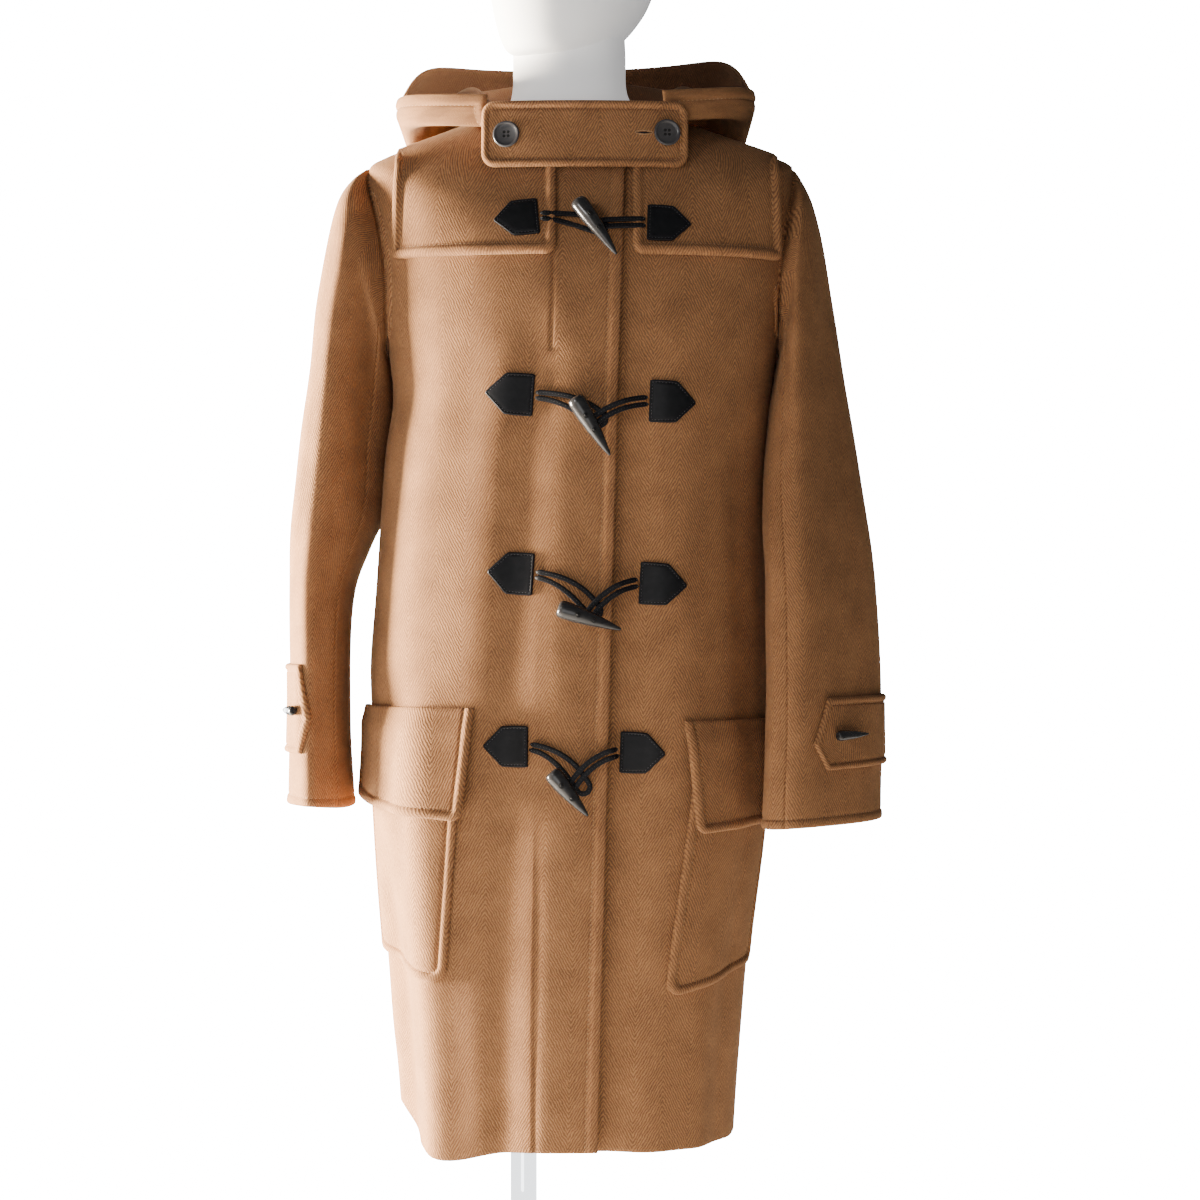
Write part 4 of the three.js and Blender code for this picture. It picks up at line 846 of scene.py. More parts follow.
# %% The sleeve as a surface
def through(points, s):
    """A smooth curve through stacked points: a cubic whose slopes are half the step between neighbours."""
    last = len(points) - 1
    k = np.clip(np.floor(s).astype(int), 0, last - 1)
    near = (np.clip(k + i, 0, last)[None, ..., None] for i in (-1, 0, 1, 2))
    a, b, c, d = (np.take_along_axis(points, which, 0)[0] for which in near)
    return cubic(b, c, (c - a) / 2, (d - b) / 2, (s - k)[..., None])


def sleeve_ring(row, around):
    """A rounded section between an outer and an inner point, both given with their own heights."""
    s, c = sin_cos(around)
    reach = (1 + c * (1 + ROUNDED * s * s)) / 2
    y = row[4] - row[5] * s * (1 + ROUNDED * c * c) + row[6] * c
    return np.stack([mix(row[2], row[0], reach), y, mix(row[3], row[1], reach)], -1)


def sleeve_surface(name):
    """The sleeve's outside face by turn and ring. Turn runs so that the face looks outward on both
    sides."""
    side = SLEEVE_SIDE[name]

    def surface(turn, place):
        turn, place = alike(turn, place)
        around = side * turn
        s, c = sin_cos(around)
        armhole = body_point(side * (90 - 22.5 * s), ARM_Z + 89.5 * c)
        rings = np.stack([armhole] + [sleeve_ring(row, around) for row in SLEEVE_ROWS[name]])
        rise = 0.45 * np.sin(np.radians(3 * around) + 2.1 * place) * np.sin(1.3 * place + 0.7) * ease(place)
        for top, low, spread, most, start, end in SLEEVE_FOLDS[name]:
            apart = either_way(around - mix(top, low, np.clip(place / LAST_RING, 0, 1)))
            rise = rise + most * bell(apart, spread) * ease((place - start) / 2) * ease((end - place) / 3)
        way = np.stack([side * c * ease(place / 4), -s, np.zeros(c.shape)], -1)
        return through(rings, place) + way * rise[..., None]
    return surface


# %% The sleeve as one closed wall
def tube(name, surface, length_at, seams, coarse=5.0, columns=92, stitch=9.0, step=(1.0, 0.02)):
    """A sleeve as one closed wall: a seam at its top, a finished edge at its end and seams along it. Its
    first rows are tucked under the body at the armhole."""
    places = np.linspace(0, LAST_RING, 240)
    along = lengths(surface(np.full(240, length_at), places))
    share = lines(along[-1], "seam", "edge", coarse, stitch)
    near = [(seam + offset - seams[0]) % 360 for seam in seams for offset in SEAM_DEGREES]
    turn = seams[0] + np.union1d(np.linspace(0, 360, columns + 1), near)
    tucked = np.array([-4.0, -2.0]) * places[1] / along[1]
    place = np.concatenate([tucked, np.interp(share * along[-1], along, places)])
    turn, place = np.meshgrid(turn, place)
    flat, n = surface(turn, place), normals(surface, turn, place, step)
    wide, tall = running(flat, 1), running(flat, 0)
    edge = tall[-1:] - tall
    extra, round_ = edge_section(edge, stitch, 0.8)
    outer = -CLOTH / 2 + (CLOTH / 2 + extra) * round_ - 1.3 * bell(tall - 4, 1.8)
    for seam in seams:
        outer = outer - 1.1 * bell(either_way(turn - seam) * wide[:, -1:] / 360, 1.5)
    inner = -CLOTH / 2 - (CLOTH / 2 + np.maximum(extra, 0) * 0.5) * round_
    tucked_in = 1 - ease(tall / 3.5)
    flat[..., 2] -= TUCK_DROP * tucked_in * np.maximum(sin_cos(turn)[1], 0)
    face, back = (flat + n * (out - TUCK * tucked_in)[..., None] for out in (outer, inner))
    front = np.argmin(np.abs(turn[0] - seams[0] - 180))
    share = wide / wide[:, -1:]
    uv = np.stack([(share - share[:, front:front + 1]) * wide[:, -1].mean(), edge], -1)
    piece = shell(name + "_cloth", face, back, uv, WOOL, tube=True)
    keep(name, piece, flat, face, n, edge, (turn - seams[0]) / 360, tall / tall[-1:], (wide[:, -1], tall))


for name, seams in (("sleeve_right", (150.0, 232.0)), ("sleeve_left", (128.0, 210.0))):
    tube(name, sleeve_surface(name), 0.0, seams)
    declare(name)

# %% Cuff tabs
# around at the point, at its shoulder and at the sewn end, and the rings of its low and high edges
CUFF_TABS = {"cuff_tab_right": (88, 74, -62, 11.45, 10.15), "cuff_tab_left": (103, 92, -58, 11.55, 10.15)}
TAB_POINT = 0.4
for name, (point, shoulder, end, low, high) in CUFF_TABS.items():
    sleeve = name.replace("cuff_tab", "sleeve")
    side = SLEEVE_SIDE[sleeve]

    def place(u, v, point=point, shoulder=shoulder, end=end, low=low, high=high, side=side):
        to_point = np.where(v < TAB_POINT, v / TAB_POINT, (1 - v) / (1 - TAB_POINT))
        from_point = u if side > 0 else 1 - u
        return side * mix(mix(shoulder, point, to_point), end, from_point), mix(low, high, v)

    kinds = ("edge", "seam") if side > 0 else ("seam", "edge")
    cloth(name, sleeve_surface(sleeve), place, (165, 62), (*kinds, "edge", "edge"), base=GAP, stitch=7,
          coarse=4.0, step=(1.0, 0.02), puff=0.6, also_v=(TAB_POINT,))
    declare(name)

# %% [markdown]
# ## Hood
#
# The hood lies back on the shoulders. Its two halves meet in a seam behind, and each is a smooth curve
# through rings: up from the neck and over it, out and down the back into a soft bag, and up again to its
# free rim. A tab closes the throat in front of it.

# %% Hood
# side_z, front_z, back_z, mid_x, half_width, front_depth, back_depth, hold
HOOD = np.array([
    [1486.5, 1434.5, 1490.5, -6, 83.2, 81.2, 63.2, 2], [1512, 1452, 1531, -6, 95, 82, 78, 2],
    [1508, 1462, 1520, -6, 114, 83, 96, 2], [1487, 1464, 1430, -6, 135, 84, 120, 2],
    [1480, 1466, 1345, -7, 150, 84.5, 134, 2], [1480, 1470, 1326, -7, 163, 85, 154, 3],
    [1490, 1480, 1410, -7, 170, 85.5, 172, 5], [1499, 1488, 1490, -7, 170, 86, 170, 9],
    [1509, 1497, 1561, -7, 168, 86, 158, 12]], float)
HOOD_TILT = 4.0
HOOD_THROAT_TURN = 26.0
# turn, spread, rise, from and to a ring: soft creases of the lying hood
HOOD_FOLDS = [(58, 10, 1.6, 2.2, 8.5), (-66, 12, 1.4, 2.6, 8.5), (112, 14, 1.8, 2.4, 7.5),
              (-124, 15, 1.7, 2.2, 7.0)]


def hood_point(turn, place):
    """Through rings of rounded sections, whose back height is reached late where the ring holds its side
    height."""
    turn, place = alike(turn, place)
    s, c = sin_cos(turn)
    rings = []
    for row in HOOD:
        p = section_point(row, turn)
        behind = mix(row[0], row[2], 1 - np.abs(s) ** row[7])
        p[..., 2] = np.where(c < 0, behind, p[..., 2]) + HOOD_TILT * s * ease((row[4] - 90) / 60)
        rings.append(p)
    rise = sum(most * bell(turn - at, spread) * ease((place - start) / 1.2) * ease((end - place) / 1.5)
               for at, spread, most, start, end in HOOD_FOLDS)
    out = np.stack([s, -c, np.zeros(s.shape)], -1)
    return through(np.stack(rings), place) + out * rise[..., None]


# the ring reached at each share of the length up the hood, measured at one turn
HOOD_PLACES = np.linspace(0, len(HOOD) - 1, 200)
up_hood = lengths(hood_point(np.full(200, 120.0), HOOD_PLACES))
up_hood = up_hood / up_hood[-1]


def hood_place(side):
    start, end = (HOOD_THROAT_TURN, 179.95) if side > 0 else (-179.95, -HOOD_THROAT_TURN)
    return lambda u, v: (mix(start, end, u), np.interp(v, up_hood, HOOD_PLACES))


for name, side in (("hood_right", -1), ("hood_left", 1)):
    kinds = ("seam", "edge") if side < 0 else ("edge", "seam")
    cloth(name, hood_point, hood_place(side), (300, 560), (*kinds, "seam", "edge"), stitch=11, puff=1.3,
          step=(0.5, 0.02), coarse=5.5, weave_from="left" if side < 0 else "right")
    declare(name)

# %% Throat tab
TAB_LEFT_X, TAB_RIGHT_X = 97.0, -93.0
TAB_MID_Z, TAB_HALF, TAB_CORNER = 1459.0, 31.0, 13.0
TAB_RIM_PLACE = 7.2


def throat_point(x, z):
    """In front of the hood's rim at this x, leaning back toward its upper edge."""
    x, z = alike(x, z)
    turn = np.zeros(x.shape)
    for _ in range(12):
        turn = turn + 0.3 * (x - hood_rim(turn)[..., 0])
    y = hood_rim(turn)[..., 1] - mix(6.4, 0.4, (z - TAB_MID_Z + TAB_HALF) / (2 * TAB_HALF))
    return np.stack([x, y, z], -1)


def hood_rim(turn):
    """The hood's upper rim at this turn."""
    return through(np.stack([section_point(row, turn) for row in HOOD]), np.full(turn.shape, TAB_RIM_PLACE))


def tab_place(u, v):
    return mix(TAB_RIGHT_X, TAB_LEFT_X, u), TAB_MID_Z + mix(-TAB_HALF, TAB_HALF, v)


cloth("throat_tab", throat_point, tab_place, (190, 62), ("edge",) * 4, base=0.0, corners=(TAB_CORNER,) * 4,
      stitch=7.5, puff=1.0, step=(1.0, 1.0), coarse=5.0)
declare("throat_tab")

# %% Topstitching
STITCH_AT = {"front": 12, "back": 12, "yoke": 10.5, "hood": 11, "throat": 7.5, "cuff": 7, "sleeve": 9,
             "pocket": 9, "flap": 9}
runs = [run for name, made in sewn.items() for run in stitch_line(made, STITCH_AT[name.split("_")[0]])]
stitches("topstitching", runs, THREAD)

# %% [markdown]
# ## Leather and horn
#
# Each closure has two leather patches, a loop on the right, and a double thong on the left that carries a
# horn toggle. The loop goes round the toggle. Patches lie on the cloth, straps run over it at a named
# height.

# %% Where a point of the front is
# number, right_x, right_z, right_tip_x, right_tip_z, left_x, left_z, left_tip_x, left_tip_z, half_height,
# butt_x, butt_z, tip_x, tip_z, loop_x, loop_z, seat
CLOSURES = [
    (1, -40, 1381, -81, 1377, 59, 1375, 99, 1373.5, 17, -5, 1395, 31, 1343.5, 21.5, 1371, 0),
    (2, -44, 1216, -88, 1219, 61, 1211, 102.5, 1209.3, 19.5, -7, 1213, 25, 1160.6, 21.4, 1194, 0.9),
    (3, -44, 1053, -86, 1055.8, 52, 1045.6, 94.5, 1043, 19.5, -22, 1023, 35, 1003.4, 17, 1020, 0),
    (4, -49, 897, -90, 897.3, 34, 892, 75, 890.4, 19, -28, 875.4, 5, 835.7, 7, 861, 1)]
STRAND_WIDTH, STRAND_THICK = 4.8, 2.5
LOOP_LIFT, THONG_LIFT = 3.2, 6.2
LOOP_SPREAD, LOOP_BOW, THONG_SPREAD = 2.6, 6.2, 3.1
HORN_R, HORN_LIFT = 8.2, 7.8


def front_at(surface, x, z, out):
    """The point out from a surface at this x and z, and the normal there, found by steps toward it."""
    x, z, out = alike(x, z, out)
    turn, h = turn_at_x(x, z), z.copy()
    for _ in range(20):
        n = normals(surface, turn, h)
        p = surface(turn, h) + n * out[..., None]
        h = h + 0.8 * (z - p[..., 2])
        turn = turn + np.degrees((x - p[..., 0]) / 240)
    return p, n


def outline_distance(points, outline):
    """The least distance from points to the straight sides of an outline, all in its plane."""
    ends = np.roll(outline, -1, axis=0)
    best = np.full(points.shape[:-1], 1e3)
    for a, b in zip(outline, ends):
        share = np.clip(((points - a) @ (b - a)) / ((b - a) @ (b - a)), 0, 1)
        best = np.minimum(best, np.linalg.norm(points - a - share[..., None] * (b - a), axis=-1))
    return best


# %% Leather patches
# share of the length, share of the half height
PATCH = np.array([[0, 0.95], [0.06, 1.0], [0.35, 1.0], [0.6, 0.97], [1.0, 0.06]])
PATCH_STITCH = 2.4
PATCH_LINES = np.array([0, 0.3, 0.8, 1.5, 2.0, 2.4, 2.9, 3.6])
PATCH_ROUND, PATCH_UNDER = 1.3, 0.7


def patch(name, surface, edge, tip, half, base):
    """A leather pentagon from its straight edge to its tip: rounded at the rim, pinched where it is
    sewn."""
    edge, tip = np.array(edge, float), np.array(tip, float)
    length = np.linalg.norm(tip - edge)
    way = (tip - edge) / length
    along = np.concatenate([PATCH_LINES, np.linspace(5, length - 5, 16), length - PATCH_LINES[::-1]])
    across = np.concatenate([PATCH_LINES, np.linspace(5, 2 * half - 5, 12), 2 * half - PATCH_LINES[::-1]])
    along, across = np.meshgrid(along, across / half - 1)
    width = half * np.interp(along / length, PATCH[:, 0], PATCH[:, 1])
    flat = np.stack([along, across * width], -1)
    outline = PATCH * [length, half]
    from_edge = outline_distance(flat, np.concatenate([outline, (outline * [1, -1])[::-1]]))
    place = edge + flat[..., :1] * way + flat[..., 1:] * np.array([-way[1], way[0]])
    p, n = front_at(surface, place[..., 0], place[..., 1], base + GAP)
    round_ = quarter_round(from_edge, PATCH_ROUND)
    dip = 0.45 * bell(from_edge - PATCH_STITCH, 0.6)
    top = PATCH_UNDER + (LEATHER - PATCH_UNDER - dip) * round_
    face, back = p + n * top[..., None], p + n * (PATCH_UNDER - PATCH_UNDER * round_)[..., None]
    piece = shell(name + "_leather", face, back, flat, LEATHER_SKIN)
    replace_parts(piece, name)
    return {"face": face, "n": n, "edge": from_edge, "wide": along / length, "tall": (across + 1) / 2}


patch_runs = []
for number, rx, rz, rtx, rtz, lx, lz, ltx, ltz, half, *_ in CLOSURES:
    base = CLOTH + GAP if number == 1 else 0.0
    left_surface = body_point if number == 1 else under_point
    for side, surface, edge, tip in (("right", body_point, (rx, rz), (rtx, rtz)),
                                     ("left", left_surface, (lx, lz), (ltx, ltz))):
        made = patch(f"patch_{side}_{number}", surface, edge, tip, half, base)
        patch_runs += stitch_line(made, PATCH_STITCH)
stitches("patch_stitching", patch_runs, LEATHER_THREAD, 3.0, 1.9, 0.65, 0.32)

# %% Loops and thongs
STRAND_SECTION = np.radians(np.arange(0, 361, 20))


def squarish(angle, power=0.55):
    """A circle leaning to a square: each of cosine and sine raised to a power below 1."""
    return np.stack([np.sign(np.cos(angle)) * np.abs(np.cos(angle)) ** power,
                     np.sign(np.sin(angle)) * np.abs(np.sin(angle)) ** power], -1)


def strand_path(start, end, near, far):
    """A strap's two legs and the bow between them, in the front's x and z, with t from 0 at the patch. The
    legs follow a curve of (1 - t)^2, 2t (1 - t) and t^2 of three points."""
    start, end = np.array(start, float), np.array(end, float)
    neck = end - [np.sign(end[0] - start[0]) * far, 0]
    bend = np.array([mix(start[0], neck[0], 0.6), mix(start[1], neck[1], 0.12)])
    t = np.linspace(0, 1, 22)
    middle = ((1 - t) ** 2)[:, None] * start + (2 * t * (1 - t))[:, None] * bend + (t * t)[:, None] * neck
    way = unit(np.gradient(middle, axis=0))
    aside = np.stack([-way[:, 1], way[:, 0]], -1)
    spread = mix(near, far, ease(t / 0.85))[:, None]
    s, c = sin_cos(np.linspace(75, -75, 9)[:, None])
    bow = middle[-1] + way[-1] * c * far + aside[-1] * s * far
    flat = np.concatenate([middle + aside * spread, bow, (middle - aside * spread)[::-1]])
    return flat, np.concatenate([t, 1 + c[:, 0] * far / 40, t[::-1]])


def strap(name, flat, lifts):
    """A flat strap along a path over the front, with rounded edges, its ends tapered and closed."""
    p, n = front_at(body_point, flat[:, 0], flat[:, 1], lifts)
    ahead = unit(np.gradient(p, axis=0))
    side = unit(np.cross(ahead, n))
    up = np.cross(side, ahead)
    ring = squarish(STRAND_SECTION)
    gone = lengths(p)
    size = (0.4 + 0.6 * ease(np.minimum(gone, gone[-1] - gone) / 3.5))[:, None, None]
    points = (p[:, None] + side[:, None] * ring[None, :, :1] * STRAND_WIDTH / 2 * size
              + up[:, None] * ring[None, :, 1:] * STRAND_THICK / 2 * size)
    ends = [np.repeat(p[k, None, None], len(ring), 1) for k in (0, -1)]
    points = np.concatenate([ends[0], points, ends[1]])
    faces = grid_faces(len(points), len(ring))
    piece = new_mesh(name + "_leather", points.reshape(-1, 3), faces, LEATHER_SKIN)
    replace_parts(piece, name)
    return p + up * (STRAND_THICK / 2 - 0.1), up


strap_runs = []
for number, rx, rz, _, _, lx, lz, _, _, _, bx, bz, tx, tz, ox, oz, _ in CLOSURES:
    on_yoke = number == 1
    base = CLOTH + GAP if on_yoke else 0.0
    flat, t = strand_path((rx + 1.4, rz), (ox, oz), LOOP_SPREAD, LOOP_BOW)
    strap_runs.append(strap(f"loop_{number}", flat, LOOP_LIFT + base * (1 - ease(t / 0.5))))
    heart = (mix(bx, tx, 0.42), mix(bz, tz, 0.42))
    flat, t = strand_path((lx - 1.4, lz), heart, THONG_SPREAD, THONG_SPREAD)
    sunk = 0.0 if on_yoke else float(under_drop(turn_at_x(lx, lz), lz))
    run = 20 if on_yoke else lx - closure_x(lz) - 4
    lifts = mix(LOOP_LIFT + base + sunk, THONG_LIFT, ease((lx - flat[:, 0]) / run))
    strap_runs.append(strap(f"thong_{number}", flat, lifts))
stitches("strap_stitching", strap_runs, LEATHER_THREAD, 2.9, 1.6, 0.7, 0.3)

# %% Horn toggles
HOLE_RIM = [(0, 0), (2.9, 0), (2.9, 0.45), (2.4, 0.6), (0, 0.55)]
THONG_BIT = [(0, 0.3), (1.4, 0.3), (1.3, 0.8), (0.7, 1.0), (0, 1.05)]
# share of the length, share of the radius
HORN_SHAPE = np.array([[0, 0.55], [0.02, 0.86], [0.08, 1.0], [0.3, 0.95], [0.55, 0.76], [0.8, 0.46],
                       [0.96, 0.22], [1.0, 0.1]])
HORN_FLAT = 0.92


def horn(name, butt, tip, up, radius):
    """A tapered horn, bowed outward by a sine and a little uneven, with both ends rounded over."""
    butt_rows, tip_rows = [0, 0, 0.004, 0.012, 0.025, 0.045], [0.97, 0.99, 1, 1]
    along = np.concatenate([butt_rows, np.linspace(0.07, 0.94, 34), tip_rows])
    size = np.interp(along, HORN_SHAPE[:, 0], HORN_SHAPE[:, 1])
    size = size * np.concatenate([[0, 0.75], np.ones(len(along) - 3), [0]])
    ahead = unit(tip - butt)
    side = unit(np.cross(ahead, up))
    rise = np.cross(side, ahead)
    angle, far = np.radians(np.arange(0, 361, 12)), along[:, None]
    bow = (np.sin(np.pi * along) * radius * 0.18)[:, None] * rise
    middle = butt + far * (tip - butt) + bow
    uneven = 0.012 * np.sin(2 * angle + 9 * far) + 0.008 * np.sin(3 * angle - 14 * far + 1)
    spoke = np.cos(angle)[:, None] * side + HORN_FLAT * np.sin(angle)[:, None] * rise
    points = middle[:, None] + spoke * (radius * size[:, None] * (1 + uneven))[..., None]
    faces = grid_faces(len(points), len(angle))
    piece = new_mesh(name + "_horn", points.reshape(-1, 3), faces, HORN)
    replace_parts(piece, name)
    return along, middle, size * radius * HORN_FLAT, rise


# two drilled holes in each horn, each shown as a near-black disc of painted shade, with a bit of the thong
# showing in them
HOLES_AT, HOLES_APART = 0.44, 15.0
for number, *_, bx, bz, tx, tz, _, _, seat in CLOSURES:
    butt, up = front_at(body_point, bx, bz, HORN_LIFT - seat + HORN_R * 0.9)
    tip, _ = front_at(body_point, tx, tz, HORN_LIFT - seat + HORN_R * 0.75)
    shares, middle, radius, rise = horn(f"toggle_{number}", butt, tip, up, HORN_R)
    for sign in (-1, 1):
        at = HOLES_AT + sign * HOLES_APART / 2 / np.linalg.norm(tip - butt)
        place = on_line(at, shares, middle) + rise * (np.interp(at, shares, radius) - 0.35)
        lathe(f"toggle_{number}_hole", HOLE_RIM, place, rise, HOLE_PAINTED_SHADE, 16)
        lathe(f"toggle_{number}_bit", THONG_BIT, place, rise, LEATHER_SKIN, 12)

# %% Cuff toggles and buttons
# sleeve, around at the butt, at the tip and between them, ring
CUFF_HORN_R = 4.6
CUFF_HORNS = {"cuff_toggle_right": ("sleeve_right", (72, 36, 54), 10.8),
              "cuff_toggle_left": ("sleeve_left", (88, 58, 73), 10.85)}
for name, (sleeve, around, ring) in CUFF_HORNS.items():
    surface, turn = sleeve_surface(sleeve), SLEEVE_SIDE[sleeve] * np.array(around, float)
    n = normals(surface, turn, np.full(3, ring), (1.0, 0.02))
    p = surface(turn, np.full(3, ring)) + n * (GAP + CLOTH + CUFF_HORN_R)
    horn(name, p[0], p[1], n[2], CUFF_HORN_R)

BUTTON_PROFILE = [(0, 0), (9, 0), (11.4, 0.5), (12.2, 1.3), (12.4, 2.2), (12.1, 3.2), (11.4, 3.6),
                  (10.6, 3.55), (9.8, 3.0), (9.2, 2.5), (8.2, 2.35), (0, 2.4)]
BUTTON_HOLE = [(0, 0), (1.35, 0), (1.4, 0.12), (1.0, 0.18), (0, 0.18)]
HOLE_OUT, HOLE_LIFT = 1.9, 2.3


def on_tab(x, z, out):
    """Points out from the throat tab with the normals there."""
    x, z = alike(x, z)
    way = normals(throat_point, x, z, (1.0, 1.0))
    return throat_point(x, z) + way * out, way


def button(name, x, z):
    """A rimmed disc with four holes, each a thin near-black disc of painted shade."""
    seat, way = on_tab(x, z, CLOTH + 0.5)
    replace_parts(lathe(name + "_disc", BUTTON_PROFILE, seat, way, BUTTON), name)
    across = unit(np.cross(way, (0, 0, 1)))
    upward = np.cross(across, way)
    for a, b in ((-1, -1), (1, 1), (1, -1), (-1, 1)):
        place = seat + (across * a + upward * b) * HOLE_OUT + way * HOLE_LIFT
        lathe(f"{name}_hole", BUTTON_HOLE, place, way, HOLE_PAINTED_SHADE, 12)


button("button_right", -69.6, 1457.8)
button("button_left", 76.8, 1460.0)
HOLE_X, HOLE_Z, SLIT_HALF, SLIT_LIFT = 56.0, 1460.0, 8.0, 3.15
# painted shade: the buttonhole's slit is one near-black bar
slit = on_tab(HOLE_X + np.linspace(-SLIT_HALF, SLIT_HALF, 12), HOLE_Z, SLIT_LIFT)
stitches("buttonhole_slit_painted_shade", [slit], HOLE_PAINTED_SHADE, 16, 15.5, 1.9, 0.3)
s, c = sin_cos(np.linspace(0, 360, 40))
edge = on_tab(HOLE_X + SLIT_HALF * c, HOLE_Z + 1.7 * s, SLIT_LIFT)
stitches("buttonhole_edge", [edge], THREAD, 1.4, 1.7, 1.2, 0.5)

# %% [markdown]
# ## Dress form and stand
#
# A limbless form fills the coat. It is lofted through rounded sections up to the shoulders, where it
# follows the coat from inside, and its plain head is an egg turned a little to one side. A steel pole
# carries it.

# %% Dress form
FORM = np.array(level([
    [780, -13, 118, 74, 80], [788, -13, 141, 88, 94], [815, -13, 154, 95, 101], [915, -13, 163, 100, 106],
    [1010, -12, 146, 95, 94], [1090, -9, 122, 86, 80], [1170, -6, 130, 96, 84], [1250, -3, 145, 108, 92],
    [1300, -2, 150, 107, 95]]) + [
    [1352, 1345, 1352, -2, 158, 98, 94], [1400, 1378, 1400, -2, 168, 91, 86],
    [1428, 1392, 1426, -2, 176, 84, 77]], float)
FORM_SHOULDERS = (1453, 1465, 1476, 1486)
FORM_NECK = np.array([
    [1493, 1447, 1499, -9, 66, 62, 52], [1503, 1466, 1507, -12, 57, 55, 49],
    [1518, 1495, 1519, -13, 53.5, 53, 50], [1545, 1540, 1545, -13, 53.5, 54, 52],
    [1575, 1575, 1575, -13, 52, 54, 54]], float)
# z, ahead, half_length, half_width
HEAD = np.array([
    [1546, 36, 14, 14], [1548, 30, 36, 32], [1555, 22, 58, 50], [1572, 15, 73, 61], [1600, 9, 86, 70],
    [1640, 4, 96, 75], [1680, 0, 98, 77], [1715, -4, 86, 70], [1742, -6, 62, 52], [1757, -7, 34, 30],
    [1762, -7, 12, 11]], float)
HEAD_X, HEAD_Y, HEAD_TURN, CHIN_DROP = -6, 6, 36, 0.13
ROUND = np.linspace(0, 360, 97)
FINER = 6


def loft(name, rings):
    """A smooth skin through rings, closed at both ends by a point."""
    rings = np.stack(rings)
    places = np.linspace(0, len(rings) - 1, (len(rings) - 1) * FINER + 1)
    every = np.broadcast_to(rings[:, None], (len(rings), len(places), *rings.shape[1:]))
    skin = through(every, np.broadcast_to(places[:, None], every.shape[1:3]))
    ends = [np.repeat(skin[k][:-1].mean(0)[None], skin.shape[1], 0)[None] for k in (0, -1)]
    skin = np.concatenate([ends[0], skin, ends[1]])
    piece = new_mesh(name, skin.reshape(-1, 3), grid_faces(*skin.shape[:2]), FORM_COVER_PAINTED_GLOW)
    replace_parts(piece, "dress_form")


torso = [section_point(row, ROUND) for row in FORM]
for h in FORM_SHOULDERS:
    around = either_way(ROUND), np.full(ROUND.shape, float(h))
    torso.append(under_point(*around) - normals(under_point, *around) * (CLOTH + 1.2))
torso += [section_point(row, ROUND) for row in FORM_NECK]
loft("form_torso", torso)
s, c = sin_cos(ROUND)
face_s, face_c = sin_cos(HEAD_TURN)
rings = []
for z, ahead, half_length, half_width in HEAD:
    forward, aside = ahead + half_length * c, half_width * s
    rings.append(np.stack([HEAD_X - forward * face_s + aside * face_c,
                           HEAD_Y - forward * face_c - aside * face_s,
                           z - CHIN_DROP * forward * ease((1620 - z) / 70)], -1))
loft("form_head", rings)

# %% Stand
POLE_X, POLE_Y, POLE_R = -57, 20, 12.5
SOCKET_R, SOCKET_TOP, BASE_R, BASE_T, FORM_FLOOR = 20, 46, 170, 10, 780
PLATE = [(0, 0), (BASE_R - 1, 0), (BASE_R, 1), (BASE_R, BASE_T - 3), (BASE_R - 1.5, BASE_T - 1),
         (BASE_R - 5, BASE_T), (0, BASE_T)]
SOCKET = [(0, 4), (SOCKET_R, 4), (SOCKET_R, SOCKET_TOP - 3), (SOCKET_R - 0.7, SOCKET_TOP - 0.9),
          (SOCKET_R - 2.5, SOCKET_TOP), (0, SOCKET_TOP)]
POLE = [(0, SOCKET_TOP + GAP), (POLE_R - 0.5, SOCKET_TOP + GAP), (POLE_R, SOCKET_TOP + 1),
        (POLE_R, FORM_FLOOR - 1), (POLE_R - 0.5, FORM_FLOOR - GAP), (0, FORM_FLOOR - GAP)]
for name, node, profile, place, metal in (("base_plate", "base", PLATE, (0, 0, 0), BRUSHED),
                                          ("base_socket", "base", SOCKET, (POLE_X, POLE_Y, 0), BRUSHED),
                                          ("pole_tube", "pole", POLE, (POLE_X, POLE_Y, 0), STEEL)):
    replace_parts(lathe(name, profile, place, (0, 0, 1), metal, 96), node)

# %% [markdown]
# ## Studio and camera
#
# A strong square light stands low at the viewer's left, level with the coat, so that it grazes the cloth. A
# weaker one behind draws the rim, one in front lifts the shades a little, and a small one lights the head.
# The world is white where the camera sees it, dim for all else, and brighter in the mirror of the pole. The
# camera stands 2.8 m in front at chest height with a long lens.

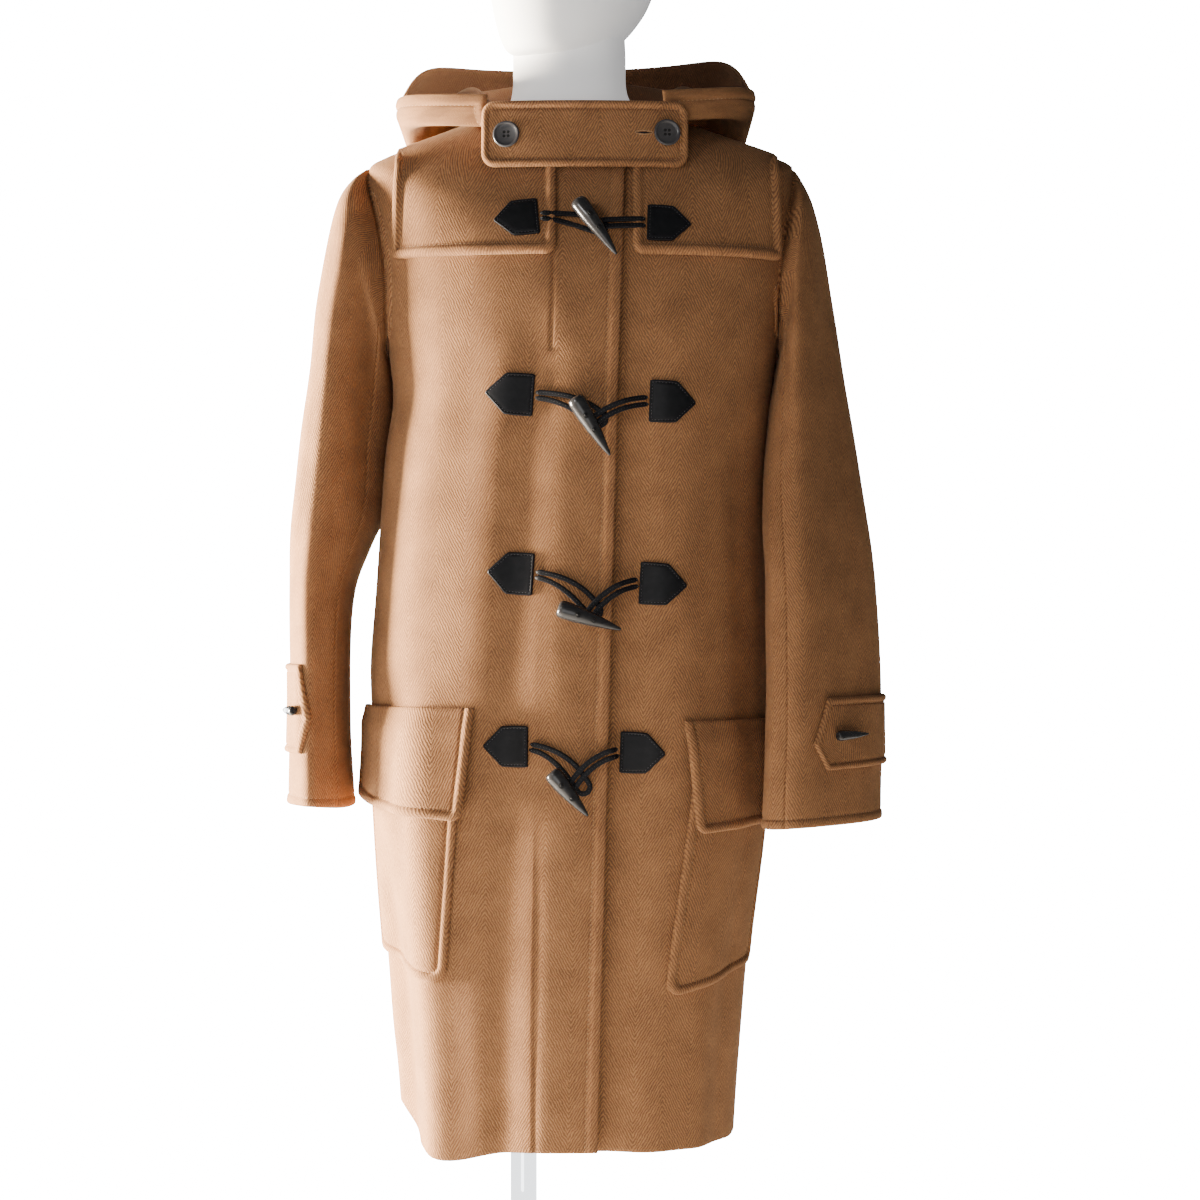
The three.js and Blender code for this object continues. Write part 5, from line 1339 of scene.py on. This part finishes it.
# %% Lights, by name, place, aim, size, power and colour
LIGHTS = [("key", (-3.0, 0.30, 0.75), (0, 0, 1.0), 0.9, 1500, (1.0, 0.89, 0.74)),
          ("rim", (-1.9, 2.0, 0.9), (0, 0, 0.9), 1.2, 120, (1, 1, 1)),
          ("front", (-0.6, -3.4, 0.9), (0, 0, 1.0), 1.6, 22, (1, 1, 1)),
          ("head", (-0.9, -1.3, 1.75), (-0.01, 0, 1.58), 0.25, 5, (1, 1, 1))]
for name, place, aim, size, power, color in LIGHTS:
    light = bpy.data.lights.new(name, "AREA")
    light.shape, light.size, light.energy, light.color = "SQUARE", size, power, color
    made = bpy.data.objects.new(name, light)
    made.location = place
    made.rotation_euler = (Vector(aim) - Vector(place)).to_track_quat("-Z", "Y").to_euler()
    bpy.context.scene.collection.objects.link(made)
print("lights", len(LIGHTS))

# %% World
SEEN, MIRRORED, AROUND = 22.0, 3.0, 0.12
world = bpy.data.worlds.new("studio")
bpy.context.scene.world = world
world.use_nodes = True
tree = world.node_tree
tree.nodes.clear()
path = add_node(tree, "ShaderNodeLightPath").outputs
mirrored = calc(tree, "MAXIMUM", calc(tree, "MULTIPLY", path["Is Singular Ray"], MIRRORED), AROUND)
strength = calc(tree, "MAXIMUM", calc(tree, "MULTIPLY", path["Is Camera Ray"], SEEN), mirrored)
pale = add_node(tree, "ShaderNodeBackground", {"Color": (0.96, 0.98, 1, 1), "Strength": strength})
add_node(tree, "ShaderNodeOutputWorld", {"Surface": pale.outputs[0]})
print("world nodes", len(tree.nodes))

# %% Floor and camera
FLOOR_R, FLOOR_SIDES, FLOOR_Z = 2.0, 96, -0.0005
turns = np.linspace(0, 2 * math.pi, FLOOR_SIDES, endpoint=False)
ring = [(FLOOR_R * math.cos(a), FLOOR_R * math.sin(a), FLOOR_Z) for a in turns]
floor_mesh = bpy.data.meshes.new("floor")
floor_mesh.from_pydata(ring, [], [list(range(FLOOR_SIDES))])
floor_mesh.materials.append(principled("floor", 0.8, (0.90, 0.90, 0.90))[0])
floor = bpy.data.objects.new("floor", floor_mesh)
bpy.context.scene.collection.objects.link(floor)

EYE_X, EYE_Y, EYE_Z = 0.016, -2.8, 1.03
SENSOR, FRAME_AT_EYE = 36.0, 2947 / 1200
camera = bpy.data.objects.new("camera", bpy.data.cameras.new("camera"))
camera.location, camera.rotation_euler = (EYE_X, EYE_Y, EYE_Z), (math.pi / 2, 0, 0)
camera.data.sensor_width, camera.data.lens = SENSOR, SENSOR * FRAME_AT_EYE
camera.data.dof.use_dof = False
bpy.context.scene.collection.objects.link(camera)
bpy.context.scene.camera = camera
print("lens", round(camera.data.lens, 2), "mm")
